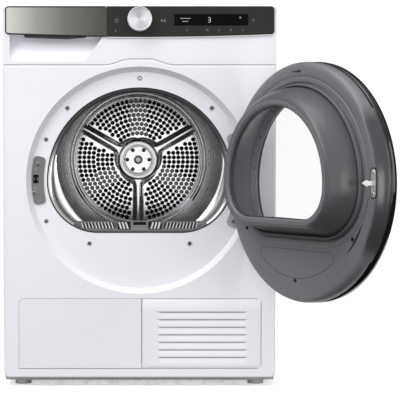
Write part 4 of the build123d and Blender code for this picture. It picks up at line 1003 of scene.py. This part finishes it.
def louvre_face():
    """The air inlet panel: rows of slots, each with a soft scoop below it; the slots' floors are grey, a painted
    shade.
    """
    low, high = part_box("louvre_panel")
    left = 43.2 * mm
    right = 233 * mm
    count = 7
    pitch = 16.75 * mm
    first = low.z + 23.2 * mm
    slot_h = 1.6 * mm
    slot_depth = 4.6 * mm
    scoop_h = 11 * mm
    scoop_depth = 2.2 * mm
    edge = 2.5 * mm
    edge_depth = 1.6 * mm
    fine = 0.6 * mm
    tops = [first + k * pitch for k in range(count)]
    columns = [low.x, low.x + fine, low.x + edge]
    for start, end, steps in ((left - 6 * mm, left + 6 * mm, 6), (left + 20 * mm, right - 20 * mm, 8),
                              (right - 6 * mm, right + 6 * mm, 6)):
        columns += spaced(start, end, steps)
    columns += [high.x - edge, high.x - fine, high.x]
    rows = [low.z, low.z + fine, low.z + edge, first - scoop_h - 4 * mm]
    for top in tops:
        rows += [top - scoop_h + scoop_h * j / 8 for j in range(9)]
        rows += [top + 0.05 * mm, top + slot_h, top + slot_h + 0.3 * mm, top + slot_h + 1.6 * mm]
    rows += [high.z - edge, high.z - fine, high.z]

    def depth(x, z):
        rim = min(x - low.x, high.x - x, z - low.z, high.z - z)
        sunk = edge_depth * (1 - smooth(0, edge, rim)) ** 2
        ends = smooth(left - 5 * mm, left + 3 * mm, x) * (1 - smooth(right - 3 * mm, right + 5 * mm, x))
        for top in tops:
            if top - scoop_h <= z <= top:
                return sunk + ends * scoop_depth * max(1 - (top - z) / scoop_h, 0) ** 1.4
            if top < z <= top + slot_h:
                return sunk + ends * slot_depth
        return sunk

    verts = [(x, front_y + depth(x, z), z) for z in rows for x in columns]
    verts += [(x, high.y, z) for z in rows for x in columns]
    piece = add_mesh("louvre_face", verts, shell_faces(len(rows), len(columns)))
    dress(piece, "cabinet", "white_moulding", "white_moulding", "louvre_panel")
    # The slots' floors take a grey finish: painted shade.
    piece.data.materials.append(looks["slot_grey"])
    for face in piece.data.polygons:
        centre = face.center
        if front_y + 3 * mm < centre.y < front_y + 5 * mm and left < centre.x < right:
            face.material_index = 1


def opening_edge():
    """A thin dark trim where the seat ring meets the tunnel."""
    section = [(0.2, -0.5), (2.2, -0.5), (2.8, 0.4), (2.8, 5.4), (0.2, 5.4)]
    piece = swept("opening_edge_trim", opening_outline, section, dish_y, 240)
    dress(piece, "cabinet", "black_plastic", "black_plastic")


def tunnel_mouth():
    """The tunnel from the door seat to the drum, its mouth polished at the sides; towards the top a painted shade
    blends it darker and duller.
    """
    around = 288
    rear = (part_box("loading_tunnel")[1].y - bulkhead_y) / mm
    # Inset all round, inset of the flat and depth behind the bulkhead's face
    section = [(6.5, 1.5, rear), (9.0, 4.0, rear), (9.0, 4.0, 22), (9.6, 4.2, 5)]
    section += [(0.8 + 8.6 * t, 0.6 + 3.4 * t, 2.4 * t**2 - 2.3) for t in spaced(1, 0, 8)]
    section += [(0.8, 0.6, -1.2), (6.5, 1.5, 3)]
    piece = swept("tunnel_mouth", opening_outline, section, bulkhead_y, around)
    dress(piece, "cabinet", "bulkhead_grey", "mouth_steel", "loading_tunnel")
    piece.data.materials.append(looks["bulkhead_grey"])

    def height(index):
        return sin(2 * pi * (index % around) / around)

    polished_rows = range(2, 12)
    for index, face in enumerate(piece.data.polygons):
        if index // around not in polished_rows or height(index) < -0.55:
            face.material_index = 1
    # The grip mask rises towards the top of the mouth: painted shade.
    add_painted_shade_mask(piece, lambda index: smooth(-0.05, 0.5, height(index)))


def filter_tub():
    """The filter's pocket under the tunnel, as four walls."""
    low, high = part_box("loading_tunnel")
    wall = 2.5 * mm
    top = door_z - opening_flat + 2 * mm
    rear = low.y + 44.5 * mm
    walls = [((low.x, low.x + wall), (bulkhead_y, rear)), ((high.x, high.x - wall), (bulkhead_y, rear))]
    walls += [((low.x, high.x), (rear - wall, rear)), ((low.x, high.x), (bulkhead_y, bulkhead_y + 2 * wall))]
    verts = []
    faces = []
    for (x0, x1), (y0, y1) in walls:
        start = len(verts)
        for z in (low.z, mix(low.z, top, 0.5), top):
            verts += [(x0, y0, z), (x1, y0, z), (x1, y1, z), (x0, y1, z)]
        faces += grid_faces(3, 4, start=start)
        faces += [tuple(range(start, start + 4)), tuple(range(start + 8, start + 12))]
    piece = add_mesh("filter_tub", verts, faces, shaded=False)
    dress(piece, "cabinet", "bulkhead_grey", "bulkhead_grey", "loading_tunnel")


def on_filter(lift, x, share):
    """A place on the filter's sloping face, from its front edge up to its rear edge; x and lift are in mm."""
    lift_front = 0.32
    lift_up = 0.95
    y = mix(dish_y + 11 * mm, dish_y + 61 * mm, share)
    z = mix(filter_z, filter_z + 17 * mm, share)
    return (x * mm, y - lift_front * lift * mm, z + lift_up * lift * mm)


def slope_plates(name, outlines, lift, look_name):
    piece = prisms(name, outlines, partial(on_filter, lift), partial(on_filter, -0.6))
    dress(piece, "lint_filter", "filter_grey", look_name)


def slanted(x, wide, lean, low, high):
    return [(x, low), (x + wide, low), (x + wide + lean, high), (x + lean, high)]


def filter_face():
    """The filter's grille: slanted bars over dark slots on each side of the handle; x in mm, y as a share. The
    slots and the handle's dip are dark plates: painted shade.
    """
    handle_half = 19
    dip_half = 14.5
    lean = 5
    bars = []
    slots = []
    for side in (-1, 1):
        for k in range(10):
            x = side * (54 + 7.4 * k)
            slots.append(slanted(x, side * 3.4, side * lean, 0.16, 0.8))
            bars.append(slanted(x + side * 3.4, side * 2.2, side * lean, 0.16, 0.8))
        slots.append(slanted(side * 20.5, side * 28.5, 0, 0.04, 0.95))
        bars += [slanted(side * (24 + 7.6 * k), side * 3.8, side * lean, 0.1, 0.85) for k in range(3)]
    # Black plates in the slots: painted shade.
    slope_plates("filter_slots", slots, 0.4, "black_plastic")
    slope_plates("filter_bars", bars, 1.0, "bar_white")
    handle = slanted(-handle_half, 2 * handle_half, 0, 0.0, 1.0)
    slope_plates("filter_handle_face", [handle], 0.8, "handle_grey")
    dip = slanted(-dip_half, 2 * dip_half, 0, 0.3, 0.86)
    # A dark dip in the handle: painted shade.
    slope_plates("filter_handle_dip", [dip], 1.1, "socket_dark")


def seat_place(deg, y=dish_y):
    x, z = polar(seat_r, radians(deg))
    return (x, y, door_z + z)


def cross_slots(x, z):
    """The two bars of a cross in a screw head, as plates for the recess's painted shade."""
    half_long = 3.0 * mm
    half_wide = 0.6 * mm
    outlines = []
    for turn in (0.5, 0.5 + pi / 2):
        along = Vector(polar(half_long, turn))
        side = Vector(polar(half_wide, turn + pi / 2))
        corners = (-along - side, along - side, along + side, side - along)
        outlines.append([(x + corner.x, z + corner.y) for corner in corners])
    return outlines


def seat_screws():
    """Screws on the door seat: sunk ones in pale cups, cross heads at the sides, a plug at the top. The cups are a
    little darker than the seat, and the dips in them, the plug's groove and the cross slots are dark: painted
    shade.
    """
    low_x = opening_flat - 5.5 * mm
    low_z = door_z - opening_flat - 23.5 * mm
    sunk = [seat_place(45), seat_place(135), (low_x, dish_y, low_z), (-low_x, dish_y, low_z)]
    top = [seat_place(90)]
    heads = [seat_place(156.4), seat_place(203.6), seat_place(-23.6, plate_y), seat_place(23.6, plate_y)]
    heads += [(latch_x + 6 * mm, plate_y, door_z + 36 * mm), (latch_x - 3 * mm, plate_y, door_z - 28 * mm)]
    head = [(0.3, -0.3), (0.3, 1.7), (2, 1.8), (4, 1.3), (5, 0.4), (5, -0.3)]
    dress(turned("seat_screw_heads", heads, head), "cabinet", "zinc_steel", "screw_grey", "front_screws")
    # The cups' grey is painted shade that outlines them against the seat.
    cup = [(4.1, -0.3), (4.1, 0.9), (4.8, 1.3), (5.8, 0.8), (6.2, -0.3)]
    dress(turned("seat_screw_cups", sunk + top, cup), "cabinet", "white_enamel", "cup_grey", "front_screws")
    # Dark dips in the cups: painted shade over the sunk screws.
    dip = [(0.3, -0.3), (0.3, 0.4), (4.0, 0.5), (4.0, -0.3)]
    dress(turned("seat_screw_dips", sunk, dip), "cabinet", "zinc_steel", "dip_painted_shade")
    plug = [(0.3, -0.3), (0.3, 0.5), (2.4, 0.6), (2.8, -0.3)]
    dress(turned("seat_plug", top, plug), "cabinet", "white_moulding", "white_moulding")
    # A dark groove round the plug: painted shade.
    groove = [(2.8, -0.3), (2.8, 0.3), (4.1, 0.3), (4.1, -0.3)]
    dress(turned("seat_plug_groove", top, groove), "cabinet", "white_moulding", "socket_dark")
    # Dark cross slots on the screw heads: painted shade in their recesses.
    for k, base in enumerate((dish_y, plate_y)):
        slots = []
        for x, y, z in heads:
            if y == base:
                slots += cross_slots(x, z)
        piece = plates("seat_screw_slots_%d" % k, slots, base - 1.95 * mm, 0.5 * mm)
        dress(piece, "cabinet", "zinc_steel", "socket_dark")


def latch_slot():
    """A black plate deep in the latch, a painted shade in its slot; the catch that the hook snaps over, and the
    moulded marks beside it.
    """
    # Painted shade: a black plate inside the latch's slot.
    inside = [bar(latch_x, latch_z, 11.8 * mm, 18.8 * mm)]
    piece = plates("latch_painted_shade", inside, dish_y + 25.6 * mm, 1 * mm)
    dress(piece, "cabinet", "latch_grey", "black_plastic")
    catch = [bar(latch_x + side * 3.6 * mm, latch_z, 2.4 * mm, 5 * mm) for side in (-1, 1)]
    dress(plates("latch_catch", catch, dish_y - 0.8 * mm, 5 * mm), "cabinet", "latch_grey", "latch_grey")
    marks = ring_outline(latch_x - 1 * mm, latch_z + 21 * mm, 2.6 * mm, 0.8 * mm)
    marks += ring_outline(latch_x, latch_z - 20 * mm, 2.6 * mm, 0.8 * mm)
    dress(plates("latch_marks", marks, dish_y - 2.45 * mm, 0.4 * mm), "cabinet", "latch_grey", "slot_grey")


def drawer_edge():
    """The dark edge of the drawer front: along its bowed foot, round its left end and along its top."""
    low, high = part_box("tank_front")
    corner = 8 * mm
    path = []
    for x in spaced(high.x, low.x + corner, 24):
        path.append((x, fascia_low.z + fascia_bow * (x / low.x) ** 2, 0, 1))
    for middle, start in ((path[-1][1] + corner, 270), (high.z - corner, 180)):
        for deg in spaced(start, start - 90, 8)[1:]:
            across, up = polar(1, radians(deg))
            path.append((low.x + corner * (1 + across), middle + corner * up, -across, -up))
    path.append((high.x, high.z, 0, -1))
    section = ((-0.2, 2.2), (-0.2, 1.5), (0.03, 0.65), (0.65, 0.03), (1.5, -0.2), (2.7, -0.2), (3.0, 0.3),
               (1.6, 2.2))
    dress(strip("drawer_edge", path, section, fascia_y), "tank_drawer", "graphite_trim", "graphite_trim")


def grip_painted_shadow():
    """A dark plate at the top of the grip pocket, a painted shadow where the finger slot is."""
    outline = [(-256, 778), (-252, 769.5), (-160, 766.5), (-119, 769.5), (-112, 778)]
    piece = plates("grip_painted_shadow", drawn([outline]), front_y + 3.5 * mm, 1 * mm)
    dress(piece, "cabinet", "black_plastic", "slot_shadow")


def fascia_lip():
    """The pale rounded edge of the front panel under the fascia."""
    low_x = -71 * mm
    high_x = fascia_high.x - 6 * mm
    section = ((0, -3.0), (-0.6, -3.6), (-1.8, -3.2), (-3.0, 0.4), (0, 0.8))
    path = []
    for x in spaced(low_x, high_x, 40):
        path.append((x, fascia_low.z + fascia_bow * (x / high_x) ** 2 - 0.4 * mm, 0, 1))
    dress(strip("fascia_lip", path, section, front_y), "cabinet", "white_moulding", "cup_white")


def seam_strip():
    """The pale strip behind the seam between the two front panels, which rises over the door."""
    half_w = 298 * mm
    seam_z = door_z + 254.1 * mm
    arch = 13 * mm
    section = ((-1.6, 0.9), (1.6, 0.9), (1.6, 1.7), (-1.6, 1.7))
    path = []
    for x in spaced(-half_w, half_w, 120):
        path.append((x, seam_z + arch * (1 - smooth(18 * mm, 79 * mm, abs(x))), 0, 1))
    dress(strip("seam_strip", path, section, front_y, shaded=False), "cabinet", "white_enamel", "seam_grey")


def base_front():
    """The rail under the front panel, between the front feet."""
    outline = [(-238, 2.5), (236, 2.5), (238, 4), (238, 13), (-240, 13), (-240, 4)]
    piece = plates("base_rail", drawn([outline]), front_y + 14 * mm, 3 * mm)
    dress(piece, "cabinet", "tray_plastic", "rail_grey")


for make in (door_liner, lens_seal, bezel_screws, door_ring, door_hook, crease_line, cover_line, top_slot,
             door_seal, drum_spider, hub_face, ring_beads, hole_rims, drum_lip, dial, fascia_marks,
             option_marks, display_digit, louvre_face, opening_edge, tunnel_mouth, filter_tub, filter_face,
             seat_screws, latch_slot, drawer_edge, grip_painted_shadow, fascia_lip, seam_strip, base_front):
    make()


# Stage, light and camera


def studio():
    """A pale studio, brightest above the front of the machine, seen as plain white behind it."""
    brightest = (-0.12, -0.6, 0.79)
    stops = ((0.42, 0.05), (0.56, 0.22), (0.75, 0.95), (1.0, 1.0))
    world = bpy.data.worlds.new("studio")
    bpy.context.scene.world = world
    world.use_nodes = True
    sky = world.node_tree.nodes["Background"]
    sky.inputs["Strength"].default_value = 0.78
    place = node(world.node_tree, "TexCoord").outputs["Generated"]
    toward = step(place, "VectorMath", {1: brightest}, out="Value", operation="DOT_PRODUCT")
    along = step(toward, "MapRange", {"From Min": -1.0})
    tones = [(where, (amount, amount, amount * 1.02)) for where, amount in stops]
    link(ramp(along, tones), sky.inputs["Color"])
    backdrop = node(world.node_tree, "Background", {"Color": (1, 1, 1, 1), "Strength": 1.05})
    seen = node(world.node_tree, "LightPath").outputs["Is Camera Ray"]
    choose = step(seen, "MixShader", into="Fac")
    link(sky.outputs["Background"], choose.node.inputs[1])
    link(backdrop.outputs["Background"], choose.node.inputs[2])
    link(choose, world.node_tree.nodes["World Output"].inputs["Surface"])
    bpy.context.scene.view_settings.view_transform = "Standard"


def floor():
    """A white floor, left out of the light that bounces onto the machine."""
    steps = 6
    verts = [(x, y, 0) for x in spaced(-1.0, 1.2, steps) for y in spaced(-0.4, 1.3, steps)]
    piece = add_mesh("studio_floor", verts, grid_faces(steps + 1, steps + 1, wrap_columns=False))
    material = finish("floor_white", grey(0.93), 0.7, spread=0.01, scale=2, bump=0.02, bump_scale=60)
    socket(material, "Emission Color").default_value = (1, 1, 1, 1)
    socket(material, "Emission Strength").default_value = 0.55
    piece.data.materials.append(material)
    piece.visible_diffuse = False


def soft_box(name, place, size, power, target=(0, 0, 0.45)):
    light = bpy.data.lights.new(name, "AREA")
    light.shape = "RECTANGLE"
    light.size, light.size_y = size
    light.energy = power
    lamp = bpy.data.objects.new(name, light)
    bpy.context.scene.collection.objects.link(lamp)
    lamp.location = place
    lamp.rotation_euler = (Vector(target) - Vector(place)).to_track_quat("-Z", "Y").to_euler()


def lights():
    soft_box("key_left", place=(-1.6, -1.6, 2.2), size=(1.0, 1.8), power=31, target=(0, 0, 0.6))
    soft_box("side_right", place=(1.9, -2.6, 0.3), size=(0.5, 1.2), power=13, target=(0.25, -0.28, 0.1))
    soft_box("fill_right", place=(2.4, -1.3, 0.9), size=(0.8, 1.4), power=10)
    soft_box("front", place=(0, -4.1, 0.1), size=(2.4, 1.4), power=11)
    soft_box("top", place=(-0.4, -0.9, 3.2), size=(2.4, 1.6), power=30)


def camera():
    """The photo's view: from the front, a little above, with the frame shifted to the door's side."""
    look_down = 0.0344
    lens = bpy.data.cameras.new("camera")
    lens.sensor_width = 36
    lens.lens = 121.36
    lens.shift_x = 0.177
    eye = bpy.data.objects.new("camera", lens)
    bpy.context.scene.collection.objects.link(eye)
    eye.location = (-0.0231, -3.2471, 0.5155)
    eye.rotation_euler = (pi / 2 - look_down, 0, 0)
    bpy.context.scene.camera = eye


studio()
floor()
lights()
camera()
